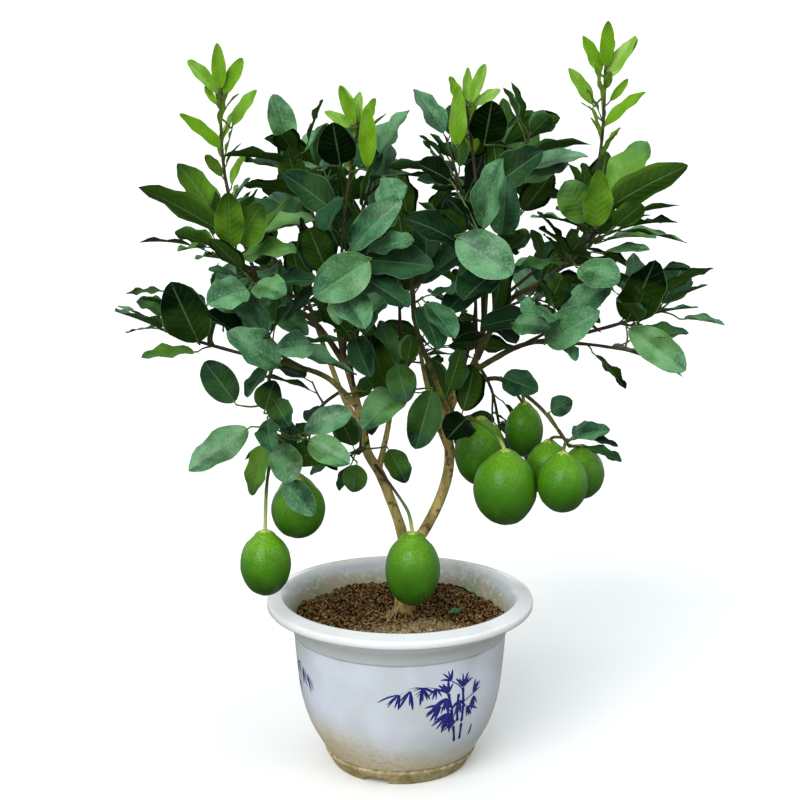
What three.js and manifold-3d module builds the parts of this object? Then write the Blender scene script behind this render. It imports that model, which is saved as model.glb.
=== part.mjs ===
// A lemon tree in fruit, growing in a round glazed pot. Millimetres, +Z up.
// The origin is the middle of the pot's flat foot, and the tree's open side faces -Y.
import * as THREE from 'three';
import { mergeVertices } from 'three/addons/utils/BufferGeometryUtils.js';
import Module from 'manifold-3d';

// The pot
const RIM_RADIUS = 130;
const FOOT_RADIUS = 67.5;
const RIDGE_HEIGHT = 170.6;
const FLOOR_TOP = 12;
const SOIL_TOP = 148;
const SOIL_RADIUS = 103;
const POT_SIDES = 24;
const FOOT_RING_INNER = 54;
const FOOT_PAD_RADIUS = 30;
const FOOT_RECESS = 3;
const NOTCH_WIDTH = 24;
const NOTCH_HEIGHT = 4.5;
const NOTCH_BEARINGS = [-20, 100, 220];

// Touching pieces keep this gap
const SEAT = 0.3;

// The crown's right half is the left half turned over at this plane and lifted
const MIRROR_X = 11;
const MIRROR_LIFT = 19;

// The wood's faceting
const TRUNK_SIDES = 9;
const BOUGH_SIDES = 5;
const TWIG_SIDES = 3;

// Leaves
const GOLDEN = THREE.MathUtils.degToRad(137.5);
const LEAF = {
  length: [56, 76], slim: [0.46, 0.54], bend: [0.1, 0.55], stalk: [7, 11], forward: [0.15, 0.9],
};
const FLUSH = {
  length: [34, 46], slim: [0.28, 0.36], bend: [-0.1, 0.35], stalk: [3, 3], forward: [0.9, 2.2],
};
const LEAF_KEEL = 1.5;
const STALK_RADIUS = 1.1;
const LEAF_FOLD = 0.22;
const SHOW_BEND = 0.25;
const SHOW_STALK = 3;
const TRIES = 12;
const LIMB_CLEAR = 4.5;
const LEAF_CLEAR = 7.5;
const SISTER_CLEAR = 5;
const FLUSH_CLEAR = 2.5;
const SHOOT_CLEAR = 5;
const SHOOT_SEED = 1000;
const TWIG_END = 0.96;
const STEM_SWING = 0.1;

// Twigs: their radii, and the room that limbs, stems and shoots keep for themselves as they thicken
const STEM_RADIUS = [2.6, 2.1];
const SHOOT_RADIUS = [1.9, 1.6];
const FRUIT_STALK_RADIUS = [1.6, 1.5];
const LIMB_ROOM = 1.45;
const STEM_ROOM = [3.2, 2.4];
const SHOOT_ROOM = [2.2, 2.2];
const STALK_ROOM = [1.1, 1.1];

// Each limb springs from a place along an earlier one and tapers through its own points
const LIMBS = [
  { name: 'trunk', radii: [8, 6.34], flare: 1.8, via: [[2, 0, 143], [4, 0, 170], [7, -1, 196], [5, 0, 218]] },
  { name: 'bough_left', from: 'trunk', along: 0.93, radii: [5.24, 4.28],
    via: [[-2, -2, 245], [-18, -6, 289], [-31, -10, 314], [-36, -12, 341]] },
  { name: 'bough_right', from: 'trunk', along: 0.93, radii: [5.66, 4.55],
    via: [[23, 2, 232], [42, 8, 271], [48, 10, 309], [42, 10, 341]] },
  { name: 'bough_left_upper', from: 'bough_left', along: 1, radii: [4, 2.34],
    via: [[-43, -14, 373], [-54, -16, 414], [-61, -18, 462]] },
  { name: 'bough_right_upper', from: 'bough_right', along: 1, radii: [4.28, 2.34],
    via: [[55, 4, 373], [75, -4, 412], [81, -8, 474]] },
  { name: 'bough_left_arm', from: 'bough_left_upper', along: 0.55, radii: [2.9, 1.93],
    via: [[-80, -12, 440], [-109, -22, 460], [-142, -34, 489]] },
  { name: 'bough_right_arm', from: 'bough_right_upper', along: 0.62, radii: [2.9, 1.93],
    via: [[101, -12, 458], [131, -22, 479], [164, -34, 508]] },
  { name: 'bough_left_branch', from: 'bough_left_upper', along: 0.2, radii: [2.9, 1.79],
    via: [[-67, -32, 390], [-96, -52, 405], [-125, -66, 414]] },
  { name: 'bough_right_branch', from: 'bough_right_upper', along: 0.45, radii: [2.9, 1.79],
    via: [[99, -22, 413], [121, -46, 426], [147, -62, 432]] },
  { name: 'bough_centre', from: 'bough_left', along: 0.55, radii: [3.03, 1.79],
    via: [[-15, 2, 318], [-9, 8, 349], [-3, 10, 388], [0, 8, 424]] },
  { name: 'bough_left_back', from: 'bough_left', along: 0.95, radii: [3.17, 1.93],
    via: [[-54, 35, 356], [-75, 80, 398], [-94, 112, 444]] },
  { name: 'bough_right_back', from: 'bough_right', along: 0.95, radii: [3.17, 1.93],
    via: [[61, 50, 368], [89, 90, 412], [110, 115, 459]] },
  { name: 'bough_back', from: 'bough_right', along: 0.75, radii: [3.03, 1.79],
    via: [[36, 45, 334], [24, 95, 375], [15, 128, 432]] },
  { name: 'bough_front', from: 'bough_right_upper', along: 0.12, radii: [2.76, 1.79],
    via: [[34, -20, 384], [22, -58, 419], [12, -92, 455]] },
  { name: 'bough_fruit', from: 'bough_right_upper', along: 0.3, radii: [2.34, 1.52],
    via: [[86, -22, 388], [106, -40, 383], [128, -58, 368], [145, -66, 348]] },
];

// The masses of leaves, in the order in which they grow. A mass's stem leaves its bough and ends at its end,
// or a little past its centre. Reach is the half size of the mass's own space. Show lists leaves that stand
// out, by foot, tip, width and facing (1 to the viewer, 0 up, under -0.1 turned away). Fruit is given by
// centre, width and height.
const MASSES = [
  { name: 'flush_outer', bough: 'arm', along: 0.86, centre: [-164, -36, 641], reach: [50, 46, 80],
    shoots: 0, leaves: 6, seeds: [69, 56], kind: FLUSH, end: [-161, -36, 656],
    show: [[-160, -40, 651, -162, -40, 694, 13, 0.8],
      [-159, -38, 600, -197, -44, 632, 14, 0.5],
      [-152, -36, 619, -127, -42, 653, 14, 0.5],
      [-160, -34, 647, -190, -30, 679, 13, 0.6],
      [-158, -38, 646, -140, -36, 681, 13, 0.6]] },
  { name: 'shoulder', bough: 'arm', along: 1, centre: [-169, -74, 547], reach: [113, 63, 72],
    shoots: 2, leaves: 6, seeds: [191, 63], end: [-153, -62, 512],
    show: [[-158, -74, 530, -227, -96, 570, 36, -0.5],
      [-161, -62, 534, -198, -56, 589, 36, 0.3],
      [-144, -84, 520, -119, -104, 557, 34, 0.9],
      [-148, -94, 515, -146, -118, 568, 26, 0.9]] },
  { name: 'outer', bough: 'branch', along: 1, centre: [-205, -80, 454], reach: [99, 69, 69],
    shoots: 1, leaves: 4, seeds: [74, 61], end: [-211, -74, 441],
    show: [[-178, -88, 431, -199, -108, 490, 42, 1],
      [-210, -66, 476, -245, -72, 474, 16, 0.1],
      [-218, -76, 448, -252, -80, 464, 18, -0.3]] },
  { name: 'front_inner', bough: 'upper', along: 0.755, centre: [-47, -112, 507], reach: [80, 69, 75],
    shoots: 3, leaves: 8, seeds: [193, 90],
    show: [[-24, -128, 512, -73, -146, 481, 40, 0.75],
      [-23, -84, 555, 7, -100, 571, 28, 0.6]] },
  { name: 'low', bough: 'branch', along: 0.55, centre: [-115, -112, 435], reach: [91, 66, 61],
    shoots: 2, leaves: 6, seeds: [95, 153],
    show: [[-103, -118, 417, -149, -136, 449, 34, 0.6],
      [-75, -112, 435, -107, -136, 434, 26, 0.6]] },
  { name: 'top', bough: 'upper', along: 1, centre: [-93, -20, 583], reach: [83, 77, 86],
    shoots: 3, leaves: 9, seeds: [132, 191],
    show: [[-58, -50, 545, -105, -62, 581, 34, 0.6],
      [-54, -28, 585, -60, -44, 625, 36, 0.9],
      [-71, -20, 583, -125, -10, 609, 30, -0.4]] },
  { name: 'flush_inner', bough: 'upper', along: 0.8, centre: [-41, -34, 623], reach: [40, 38, 54],
    shoots: 0, leaves: 5, seeds: [54, 102], kind: FLUSH, end: [-37, -32, 625],
    show: [[-29, -44, 582, -29, -50, 637, 16, 0.9],
      [-40, -36, 619, -54, -36, 657, 11, 0.7],
      [-42, -34, 619, -68, -34, 634, 11, 0.6],
      [-34, -34, 618, -22, -34, 646, 11, 0.7]] },
  { name: 'top_inner', bough: 'upper', along: 0.62, centre: [-24, 20, 572], reach: [72, 72, 77],
    shoots: 2, leaves: 8, seeds: [158, 3],
    show: [[-20, 14, 592, 10, 20, 635, 34, 0.3]] },
  { name: 'fruit_left', bough: 'bough_left_branch', along: 0.86, centre: [-117, -96, 318],
    reach: [138, 83, 152], shoots: 0, leaves: 0, seeds: [1], end: [-110, -96, 349],
    show: [[-133, -100, 359, -188, -112, 321, 30, 0.7],
      [-88, -98, 352, -43, -92, 371, 26, 0.5],
      [-83, -104, 349, -44, -118, 329, 26, 0.8],
      [-103, -112, 349, -99, -134, 315, 30, 0.9],
      [-146, -92, 377, -175, -84, 415, 30, 0.6],
      [-122, -90, 369, -112, -84, 398, 26, 0.5],
      [-103, -118, 316, -76, -118, 282, 24, 0.8]],
    fruit: [[-122, -100, 232, 46, 60], [-93, -80, 278, 50, 56]] },
  { name: 'fruit_big', bough: 'bough_right', along: 0.85, centre: [79, -50, 321], reach: [110, 83, 110],
    shoots: 1, leaves: 3, seeds: [178], end: [65, -40, 356],
    fruit: [[96, -78, 297, 58, 69], [77, -8, 314, 50, 66]] },
  { name: 'fruit_right', bough: 'bough_fruit', along: 1, centre: [147, -66, 339], reach: [124, 83, 110],
    shoots: 0, leaves: 2, seeds: [61], end: [155, -68, 333],
    show: [[134, -78, 367, 155, -86, 380, 20, 0.6],
      [158, -66, 342, 192, -70, 349, 22, 0.4]],
    fruit: [[147, -88, 304, 46, 55], [169, -50, 304, 42, 50], [140, -32, 304, 44, 52]] },
  { name: 'fruit_top', bough: 'bough_fruit', along: 0.35, centre: [110, -60, 375], reach: [83, 69, 83],
    shoots: 0, leaves: 0, seeds: [1],
    show: [[91, -66, 398, 124, -86, 388, 28, 0.7]],
    fruit: [[120, 12, 331, 37, 53]] },
  { name: 'fruit_front', bough: 'bough_left', along: 0.64, centre: [8, -44, 237], reach: [69, 69, 110],
    shoots: 0, leaves: 0, seeds: [1], end: [-4, -30, 280],
    fruit: [[12, -46, 209, 52, 70]] },
  { name: 'outer_low', bough: 'bough_right_branch', along: 0.68, centre: [227, -88, 426],
    reach: [83, 62, 69], shoots: 0, leaves: 2, end: [202, -109, 429], seeds: [201],
    show: [[199, -98, 449, 251, -110, 411, 32, 0.7]] },
  { name: 'low_centre', bough: 'bough_centre', along: 0.55, centre: [5, -30, 377], reach: [69, 83, 72],
    shoots: 2, leaves: 4, seeds: [129],
    show: [[30, -52, 385, 14, -62, 329, 32, 1],
      [-4, -50, 409, 7, -66, 374, 28, 0.8]] },
  { name: 'stem_side', bough: 'bough_left', along: 0.78, centre: [-45, -34, 317], reach: [72, 61, 75],
    shoots: 1, leaves: 3, seeds: [57],
    show: [[-40, -44, 313, -44, -58, 287, 24, 0.8],
      [-12, -38, 326, 6, -46, 293, 24, 0.6]] },
  { name: 'mid', bough: 'arm', along: 0.66, centre: [-128, -84, 484], reach: [86, 63, 66],
    shoots: 2, leaves: 7, seeds: [38, 63],
    show: [[-131, -104, 483, -165, -134, 473, 32, 0.5]] },
  { name: 'centre_front', bough: 'bough_front', along: 1, centre: [10, -110, 487], reach: [69, 69, 83],
    shoots: 2, leaves: 6, seeds: [146] },
  { name: 'centre', bough: 'bough_centre', along: 1, centre: [-2, 10, 472], reach: [66, 63, 83],
    shoots: 3, leaves: 8, seeds: [176] },
  { name: 'inner', bough: 'upper', along: 0.34, centre: [-46, -40, 437], reach: [63, 63, 69],
    shoots: 2, leaves: 6, seeds: [50, 211] },
  { name: 'back_outer', bough: 'back', along: 0.9, centre: [-173, 50, 493], reach: [99, 75, 91],
    shoots: 3, leaves: 9, seeds: [209, 162] },
  { name: 'back_high', bough: 'back', along: 1, centre: [-78, 100, 546], reach: [97, 86, 91],
    shoots: 3, leaves: 9, seeds: [112, 182] },
  { name: 'back_low', bough: 'back', along: 0.8, centre: [-118, 125, 422], reach: [99, 86, 83],
    shoots: 3, leaves: 9, seeds: [104, 102] },
  { name: 'centre_back', bough: 'bough_back', along: 1, centre: [12, 140, 503], reach: [91, 83, 105],
    shoots: 3, leaves: 9, seeds: [53] },
  { name: 'low_back', bough: 'bough_back', along: 0.6, centre: [21, 120, 391], reach: [110, 88, 77],
    shoots: 3, leaves: 9, seeds: [60] },
  { name: 'fruit_back_right', bough: 'bough_right_back', along: 0.5, centre: [104, 112, 298],
    reach: [97, 83, 105], shoots: 2, leaves: 5, seeds: [103],
    fruit: [[107, 118, 253, 50, 60]] },
  { name: 'fruit_back_left', bough: 'bough_left_back', along: 0.4, centre: [-98, 105, 299],
    reach: [102, 83, 110], shoots: 2, leaves: 5, seeds: [117],
    fruit: [[-107, 112, 233, 46, 56]] },
];

// A small multiplying random number source, the same for the same seed
class Dice {
  constructor(seed) {
    this.state = (seed * 16807 + 1013) % 2147483647;
    for (let i = 0; i < 3; i += 1) this.roll();
  }

  roll() {
    this.state = (this.state * 48271) % 2147483647;
    return this.state / 2147483647;
  }

  between([low, high]) {
    return low + (high - low) * this.roll();
  }
}

const vec = (p) => new THREE.Vector3(p[0], p[1], p[2]);
const UP = new THREE.Vector3(0, 0, 1);
const VIEW = new THREE.Vector3(0, -1, 0);
const blend = (a, b, share) => a.clone().lerp(b, share);

// A smooth line through a few points (Catmull-Rom, even steps, ends not repeated)
class Line {
  constructor(points) {
    this.points = points;
  }

  at(share) {
    const last = this.points.length - 1;
    const u = Math.min(Math.max(share, 0), 1) * last;
    const i = Math.min(Math.floor(u), last - 1);
    const f = u - i;
    const a = this.points[Math.max(i - 1, 0)];
    const b = this.points[i];
    const c = this.points[i + 1];
    const d = this.points[Math.min(i + 2, last)];
    const mix = (key) => 0.5 * (2 * b[key] + (c[key] - a[key]) * f
      + (2 * a[key] - 5 * b[key] + 4 * c[key] - d[key]) * f * f
      + (3 * b[key] - a[key] - 3 * c[key] + d[key]) * f * f * f);
    return new THREE.Vector3(mix('x'), mix('y'), mix('z'));
  }

  way(share) {
    const step = 0.01;
    return this.at(Math.min(share + step, 1)).sub(this.at(Math.max(share - step, 0))).normalize();
  }
}

// Two unit directions square to a way
function across(way) {
  let side = way.clone().cross(UP);
  if (side.lengthSq() < 0.01) side = new THREE.Vector3(1, 0, 0);
  side.normalize();
  return [side, side.clone().cross(way)];
}

// The half width of a leaf along its length, 1 near its widest: a pointed oval, broader below
const blade = (s) => (4 * s * (1 - s)) ** 0.72 * (1.09 - 0.2 * s);

// A place on a leaf's middle surface, s from its foot to its tip and w across from -1 to 1.
// The midrib is an arc that droops away from the face, and the two halves are folded up a little.
function leafPoint(leaf, s, w, lift = 0) {
  const side = leaf.way.clone().cross(leaf.face);
  const turn = leaf.bend * s;
  const run = leaf.length * Math.sin(turn) / leaf.bend;
  const drop = leaf.length * (1 - Math.cos(turn)) / leaf.bend;
  const half = 0.5 * leaf.width * blade(s);
  const normal = leaf.face.clone().multiplyScalar(Math.cos(turn)).addScaledVector(leaf.way, Math.sin(turn));
  return leaf.foot.clone()
    .addScaledVector(leaf.way, leaf.stalk + run)
    .addScaledVector(leaf.face, -drop)
    .addScaledVector(side, w * half)
    .addScaledVector(normal, LEAF_FOLD * Math.abs(w) * half + lift);
}

// Points spread over a leaf, for keeping it clear of its neighbours
const CLOUD_ALONG = [0.02, 0.14, 0.27, 0.4, 0.54, 0.68, 0.81, 0.92];
const CLOUD_ACROSS = [-1, -0.5, 0, 0.5, 1];
function leafCloud(leaf) {
  const cloud = CLOUD_ALONG.flatMap((s) => CLOUD_ACROSS.map((w) => leafPoint(leaf, s, w)));
  cloud.push(leafPoint(leaf, 1, 0));
  return cloud;
}

// The distance from a point to a stretch of limb
function gapTo(p, seg) {
  const dx = seg.b.x - seg.a.x;
  const dy = seg.b.y - seg.a.y;
  const dz = seg.b.z - seg.a.z;
  const px = p.x - seg.a.x;
  const py = p.y - seg.a.y;
  const pz = p.z - seg.a.z;
  const square = Math.max(dx * dx + dy * dy + dz * dz, 1e-9);
  const t = Math.min(Math.max((px * dx + py * dy + pz * dz) / square, 0), 1);
  return Math.hypot(px - t * dx, py - t * dy, pz - t * dz);
}

// The tree's limbs, each with its line
function growLimbs() {
  const limbs = new Map();
  for (const limb of LIMBS) {
    const points = limb.via.map(vec);
    if (limb.from) points.unshift(limbs.get(limb.from).line.at(limb.along));
    limbs.set(limb.name, { ...limb, line: new Line(points) });
  }
  return limbs;
}

// The masses: a row with two seeds stands for a mass on the left and its twin on the right
const BOUGH_OF = (bough, side) => `bough_${side}_${bough}`;
function layOutMasses(limbs) {
  const masses = [];
  for (const row of MASSES) {
    const sides = row.seeds.length === 2 ? ['left', 'right'] : ['own'];
    sides.forEach((side, i) => {
      const over = side === 'right';
      const put = (p) => (over ? new THREE.Vector3(2 * MIRROR_X - p[0], p[1], p[2] + MIRROR_LIFT) : vec(p));
      const limb = limbs.get(side === 'own' ? row.bough : BOUGH_OF(row.bough, side));
      const start = limb.line.at(row.along);
      const centre = put(row.centre);
      const end = row.end ? put(row.end) : blend(start, centre, 1.1);
      const swing = limb.line.way(row.along).multiplyScalar(STEM_SWING * start.distanceTo(end));
      const middle = blend(start, end, 0.45).add(swing);
      masses.push({
        name: side === 'own' ? row.name : `${row.name}_${side}`,
        limb, centre, reach: row.reach, shoots: row.shoots, leaves: row.leaves, seed: row.seeds[i],
        kind: row.kind ?? LEAF, flip: over ? -1 : 1, stem: new Line([start, middle, end]),
        show: (row.show ?? []).map((s) => (
          { foot: put(s), tip: put(s.slice(3)), width: s[6], facing: s[7] })),
        fruit: (row.fruit ?? []).map((f) => ({ centre: put(f), across: f[3], tall: f[4] })),
      });
    });
  }
  return masses;
}

// What a leaf must keep clear of: limbs, stems, shoots and fruit, as thick stretches with their owner
function stretches(line, steps, radii, owner) {
  const list = [];
  for (let i = 0; i < steps; i += 1) {
    const radius = radii[0] + (radii[1] - radii[0]) * (i / steps);
    list.push({ a: line.at(i / steps), b: line.at((i + 1) / steps), radius, owner });
  }
  return list;
}

// The nearest place on a mass's stem to a point, in tenths from a first tenth
function nearestOnStem(stem, point, first, weigh = () => 0) {
  let best = { cost: Infinity };
  for (let i = first; i <= 10; i += 1) {
    const share = Math.min(i / 10, TWIG_END);
    const place = stem.at(share);
    const cost = place.distanceTo(point) + weigh(place);
    if (cost < best.cost) best = { cost, share, place };
  }
  return best;
}

const insideReach = (mass, p, share) => Math.hypot(
  (p.x - mass.centre.x) / mass.reach[0],
  (p.y - mass.centre.y) / mass.reach[1],
  (p.z - mass.centre.z) / mass.reach[2],
) < share;

// A leaf that stands out in view: its footstalk comes off the stem, and it faces up and to the viewer
function showLeaf(mass, show) {
  const near = nearestOnStem(mass.stem, show.foot, 3);
  const bulge = mass.stem.way(near.share).multiplyScalar(0.1 * near.cost);
  const footstalk = new Line([near.place, blend(near.place, show.foot, 0.5).add(bulge), show.foot]);
  const chord = show.tip.clone().sub(show.foot).normalize();
  const up = UP.clone().multiplyScalar(1 - Math.abs(show.facing)).addScaledVector(VIEW, show.facing);
  up.addScaledVector(chord, -up.dot(chord)).normalize();
  const tilt = SHOW_BEND / 2;
  const way = chord.clone().multiplyScalar(Math.cos(tilt)).addScaledVector(up, Math.sin(tilt));
  const face = up.multiplyScalar(Math.cos(tilt)).addScaledVector(chord, -Math.sin(tilt));
  const leaf = { foot: show.foot, way, face, length: show.foot.distanceTo(show.tip) - SHOW_STALK,
    width: show.width, bend: SHOW_BEND, stalk: SHOW_STALK };
  return { leaf, footstalk };
}

// Places along a shoot at which it must be clear of the other masses' wood and fruit
const SHOOT_TESTS = [0.2, 0.4, 0.6, 0.8, 1];
function shootIsClear(line, index, wood) {
  const others = wood.filter((seg) => seg.owner !== index);
  return SHOOT_TESTS.every((share) => {
    const place = line.at(share);
    return others.every((seg) => gapTo(place, seg) > seg.radius + SHOOT_CLEAR);
  });
}

// Side shoots leave the stem turn by turn, lean up and keep well inside the mass's space
function growShoots(mass, index, wood) {
  const dice = new Dice(SHOOT_SEED + index);
  const mean = (mass.reach[0] + mass.reach[1] + mass.reach[2]) / 3;
  const shoots = [];
  for (let j = 0; j < mass.shoots; j += 1) {
    for (let attempt = 0; attempt < 8; attempt += 1) {
      const share = 0.4 + 0.5 * (j + dice.roll() * 0.6) / mass.shoots;
      const start = mass.stem.at(share);
      const way = mass.stem.way(share);
      const [u, v] = across(way);
      const angle = GOLDEN * (j + 1) + dice.between([0, 2 * Math.PI]);
      const out = way.clone().multiplyScalar(0.7)
        .addScaledVector(u, Math.cos(angle) * mass.flip)
        .addScaledVector(v, Math.sin(angle))
        .addScaledVector(UP, 0.25).normalize();
      const long = 0.36 * mean * dice.between([0.7, 1.1]);
      const tip = start.clone().addScaledVector(out, long);
      const sag = blend(start, tip, 0.5).addScaledVector(UP, -0.05 * long);
      const line = new Line([start, sag, tip]);
      if (insideReach(mass, tip, 0.75) && shootIsClear(line, index, wood)) {
        shoots.push(line);
        break;
      }
    }
  }
  return shoots;
}

// Every mass's stem, shoots, footstalks, fruit stalks and leaves, grown in the table's order
function growMasses(limbs) {
  const masses = layOutMasses(limbs);
  const wood = [];
  for (const limb of limbs.values()) {
    const room = limb.radii.map((radius) => LIMB_ROOM * radius);
    wood.push(...stretches(limb.line, 10, room, -1));
  }
  masses.forEach((mass, k) => {
    wood.push(...stretches(mass.stem, 6, STEM_ROOM, k));
    for (const f of mass.fruit) {
      const half = UP.clone().multiplyScalar(0.2 * f.tall);
      const [a, b] = [f.centre.clone().sub(half), f.centre.clone().add(half)];
      wood.push({ a, b, radius: f.across / 2, owner: -2 });
    }
  });
  masses.forEach((mass, k) => {
    const shown = mass.show.map((s) => showLeaf(mass, s));
    mass.footstalks = shown.map((s) => s.footstalk);
    mass.grown = shown.map((s) => ({ ...s.leaf, footstalk: s.footstalk }));
    mass.side = growShoots(mass, k, wood);
    for (const line of mass.side) wood.push(...stretches(line, 3, SHOOT_ROOM, k));
    for (const line of mass.footstalks) wood.push(...stretches(line, 3, STALK_ROOM, k));
  });
  const placed = [];
  const keep = (k, cloud) => placed.push({ cloud: cloud.slice(5), middle: middleOf(cloud), owner: k });
  masses.forEach((mass, k) => mass.grown.forEach((leaf) => keep(k, leafCloud(leaf))));
  const clear = (k, cloud, sister) => {
    const middle = middleOf(cloud);
    for (const seg of wood) {
      if (seg.owner === k) continue;
      if (gapTo(middle, seg) > 60 + seg.radius) continue;
      if (cloud.some((p) => gapTo(p, seg) - seg.radius <= LIMB_CLEAR)) return false;
    }
    for (const other of placed) {
      if (other.middle.distanceTo(middle) >= 85) continue;
      const gap = other.owner === k ? sister : LEAF_CLEAR;
      for (let i = 5; i < cloud.length; i += 1) {
        for (const q of other.cloud) {
          if (cloud[i].distanceToSquared(q) <= gap * gap) return false;
        }
      }
    }
    return true;
  };
  masses.forEach((mass, k) => {
    const dice = new Dice(mass.seed);
    const twigs = [{ line: mass.stem, first: 0.55 }, ...mass.side.map((line) => ({ line, first: 0.35 }))];
    const sister = mass.kind === FLUSH ? FLUSH_CLEAR : SISTER_CLEAR;
    for (let n = 0; n < mass.leaves; n += 1) {
      const twig = twigs[n % twigs.length];
      const rank = Math.floor(n / twigs.length);
      const perTwig = Math.max(1, Math.ceil((mass.leaves - n % twigs.length) / twigs.length));
      for (let attempt = 0; attempt < TRIES; attempt += 1) {
        const leaf = drawLeaf(mass, dice, twig, n, rank, perTwig, attempt);
        const cloud = leafCloud(leaf);
        if (cloud.every((p) => insideReach(mass, p, 1)) && clear(k, cloud, sister)) {
          mass.grown.push(leaf);
          keep(k, cloud);
          break;
        }
      }
    }
  });
  return masses;
}

function middleOf(cloud) {
  return cloud.reduce((sum, p) => sum.add(p), new THREE.Vector3()).divideScalar(cloud.length);
}

// One try at a leaf: its turn round the twig, its way, size and droop, facing up and out of the crown
function drawLeaf(mass, dice, twig, n, rank, perTwig, attempt) {
  const kind = mass.kind;
  const share = Math.min(1 - (1 - twig.first) * (rank + 0.6 * dice.roll()) / perTwig, TWIG_END);
  const foot = twig.line.at(share);
  const along = twig.line.way(share);
  const [u, v] = across(along);
  const angle = GOLDEN * n + dice.between([-0.6, 0.6]) + attempt * 0.9;
  const forward = dice.between(kind.forward) + (kind === LEAF && rank === 0 ? 0.5 : 0);
  const lift = kind === FLUSH ? 0.4 : dice.between([-0.25, 0.3]);
  const way = along.multiplyScalar(forward)
    .addScaledVector(u, Math.cos(angle) * mass.flip)
    .addScaledVector(v, Math.sin(angle))
    .addScaledVector(UP, lift).normalize();
  const length = dice.between(kind.length) * (1 - 0.02 * attempt);
  const width = length * dice.between(kind.slim);
  const bend = dice.between(kind.bend);
  const stalk = dice.between(kind.stalk);
  const outward = new THREE.Vector3(foot.x - MIRROR_X, foot.y, 0).normalize();
  const face = UP.clone().addScaledVector(outward, 0.55);
  face.x += dice.between([-0.35, 0.35]) * mass.flip;
  face.y += dice.between([-0.35, 0.35]);
  face.addScaledVector(way, -face.dot(way)).normalize();
  return { foot, way, face, length, width, bend: Math.abs(bend) < 0.02 ? 0.02 : bend, stalk };
}

// Manifold-3d does the joining and cutting
const wasm = await Module();
wasm.setup();

function solidFrom(positions, triangles) {
  return new wasm.Manifold(new wasm.Mesh({
    numProp: 3,
    vertProperties: Float32Array.from(positions),
    triVerts: Uint32Array.from(triangles),
  }));
}

// A closed three.js geometry as a solid: shared corners merged, flattened faces at its poles dropped
function solidOf(geometry) {
  const bare = new THREE.BufferGeometry();
  bare.setAttribute('position', geometry.getAttribute('position'));
  bare.setIndex(geometry.getIndex());
  const merged = mergeVertices(bare, 1e-3);
  const index = merged.getIndex().array;
  const kept = [];
  for (let i = 0; i < index.length; i += 3) {
    const [a, b, c] = index.slice(i, i + 3);
    if (a !== b && b !== c && c !== a) kept.push(a, b, c);
  }
  return solidFrom(merged.getAttribute('position').array, kept);
}

// A skin over rings of equal count, closed at each end by a flat cap or by one point
function skin(rings, root = null, tip = null) {
  const sides = rings[0].length;
  const points = rings.flat();
  const faces = [];
  for (let i = 0; i + 1 < rings.length; i += 1) {
    for (let j = 0; j < sides; j += 1) {
      const a = i * sides + j;
      const b = i * sides + (j + 1) % sides;
      faces.push(a, b, b + sides, a, b + sides, a + sides);
    }
  }
  // A flat cap fans out from the ring's first corner, a pointed one from the given point
  const close = (first, outward, point) => {
    const apex = point ? points.push(point) - 1 : first;
    const from = point ? 0 : 1;
    const until = point ? sides : sides - 1;
    for (let j = from; j < until; j += 1) {
      const a = first + j;
      const b = first + (j + 1) % sides;
      faces.push(apex, outward ? a : b, outward ? b : a);
    }
  };
  close(0, false, root);
  close((rings.length - 1) * sides, true, tip);
  return solidFrom(points.flatMap((p) => [p.x, p.y, p.z]), faces);
}

// A tapering round limb along a line, its rings kept from spinning, with a blunt tip if it ends in the open
function limbSolid(line, radii, sides, steps, { flare = 0, extra = 0, blunt = false } = {}) {
  const rings = [];
  let side = across(line.way(0))[0];
  const addRing = (centre, way, radius) => {
    side = side.clone().addScaledVector(way, -side.dot(way)).normalize();
    const other = way.clone().cross(side);
    rings.push(Array.from({ length: sides }, (_, j) => {
      const angle = 2 * Math.PI * j / sides;
      return centre.clone()
        .addScaledVector(side, radius * Math.cos(angle))
        .addScaledVector(other, radius * Math.sin(angle));
    }));
  };
  for (let i = 0; i <= steps; i += 1) {
    const share = i / steps;
    const radius = radii[0] + (radii[1] - radii[0]) * share + flare * (1 - share) ** 5 + extra;
    addRing(line.at(share), line.way(share), radius);
  }
  if (blunt) {
    const way = line.way(1);
    const radius = radii[1] + extra;
    addRing(line.at(1).addScaledVector(way, 0.45 * radius), way, 0.6 * radius);
  }
  return skin(rings);
}

const LEAF_RINGS = [0.28, 0.66];

// A leaf: a thin skin, flat on top with a keel below, pointed at its root in the twig and at its tip.
// A leaf that stands out carries its own footstalk from the stem.
function leafSolid(leaf) {
  const rings = LEAF_RINGS.map((s) => [
    leafPoint(leaf, s, 1),
    leafPoint(leaf, s, 0, -LEAF_KEEL),
    leafPoint(leaf, s, -1),
  ]);
  if (!leaf.footstalk) return skin(rings, leaf.foot, leafPoint(leaf, 1, 0));
  const side = leaf.way.clone().cross(leaf.face);
  rings.unshift(
    stalkRing(leaf.footstalk.at(0.5), leaf.footstalk.way(0.5), side),
    stalkRing(leaf.foot, leaf.footstalk.way(1).add(leaf.way).normalize(), side),
  );
  return skin(rings, leaf.footstalk.at(0), leafPoint(leaf, 1, 0));
}

// Three corners round a stalk: two at its sides and one below, turned with the leaf's side
function stalkRing(place, way, leafSide) {
  const side = leafSide.clone().addScaledVector(way, -leafSide.dot(way)).normalize();
  return [
    place.clone().addScaledVector(side, STALK_RADIUS),
    place.clone().addScaledVector(way.clone().cross(side), STALK_RADIUS),
    place.clone().addScaledVector(side, -STALK_RADIUS),
  ];
}

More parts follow.
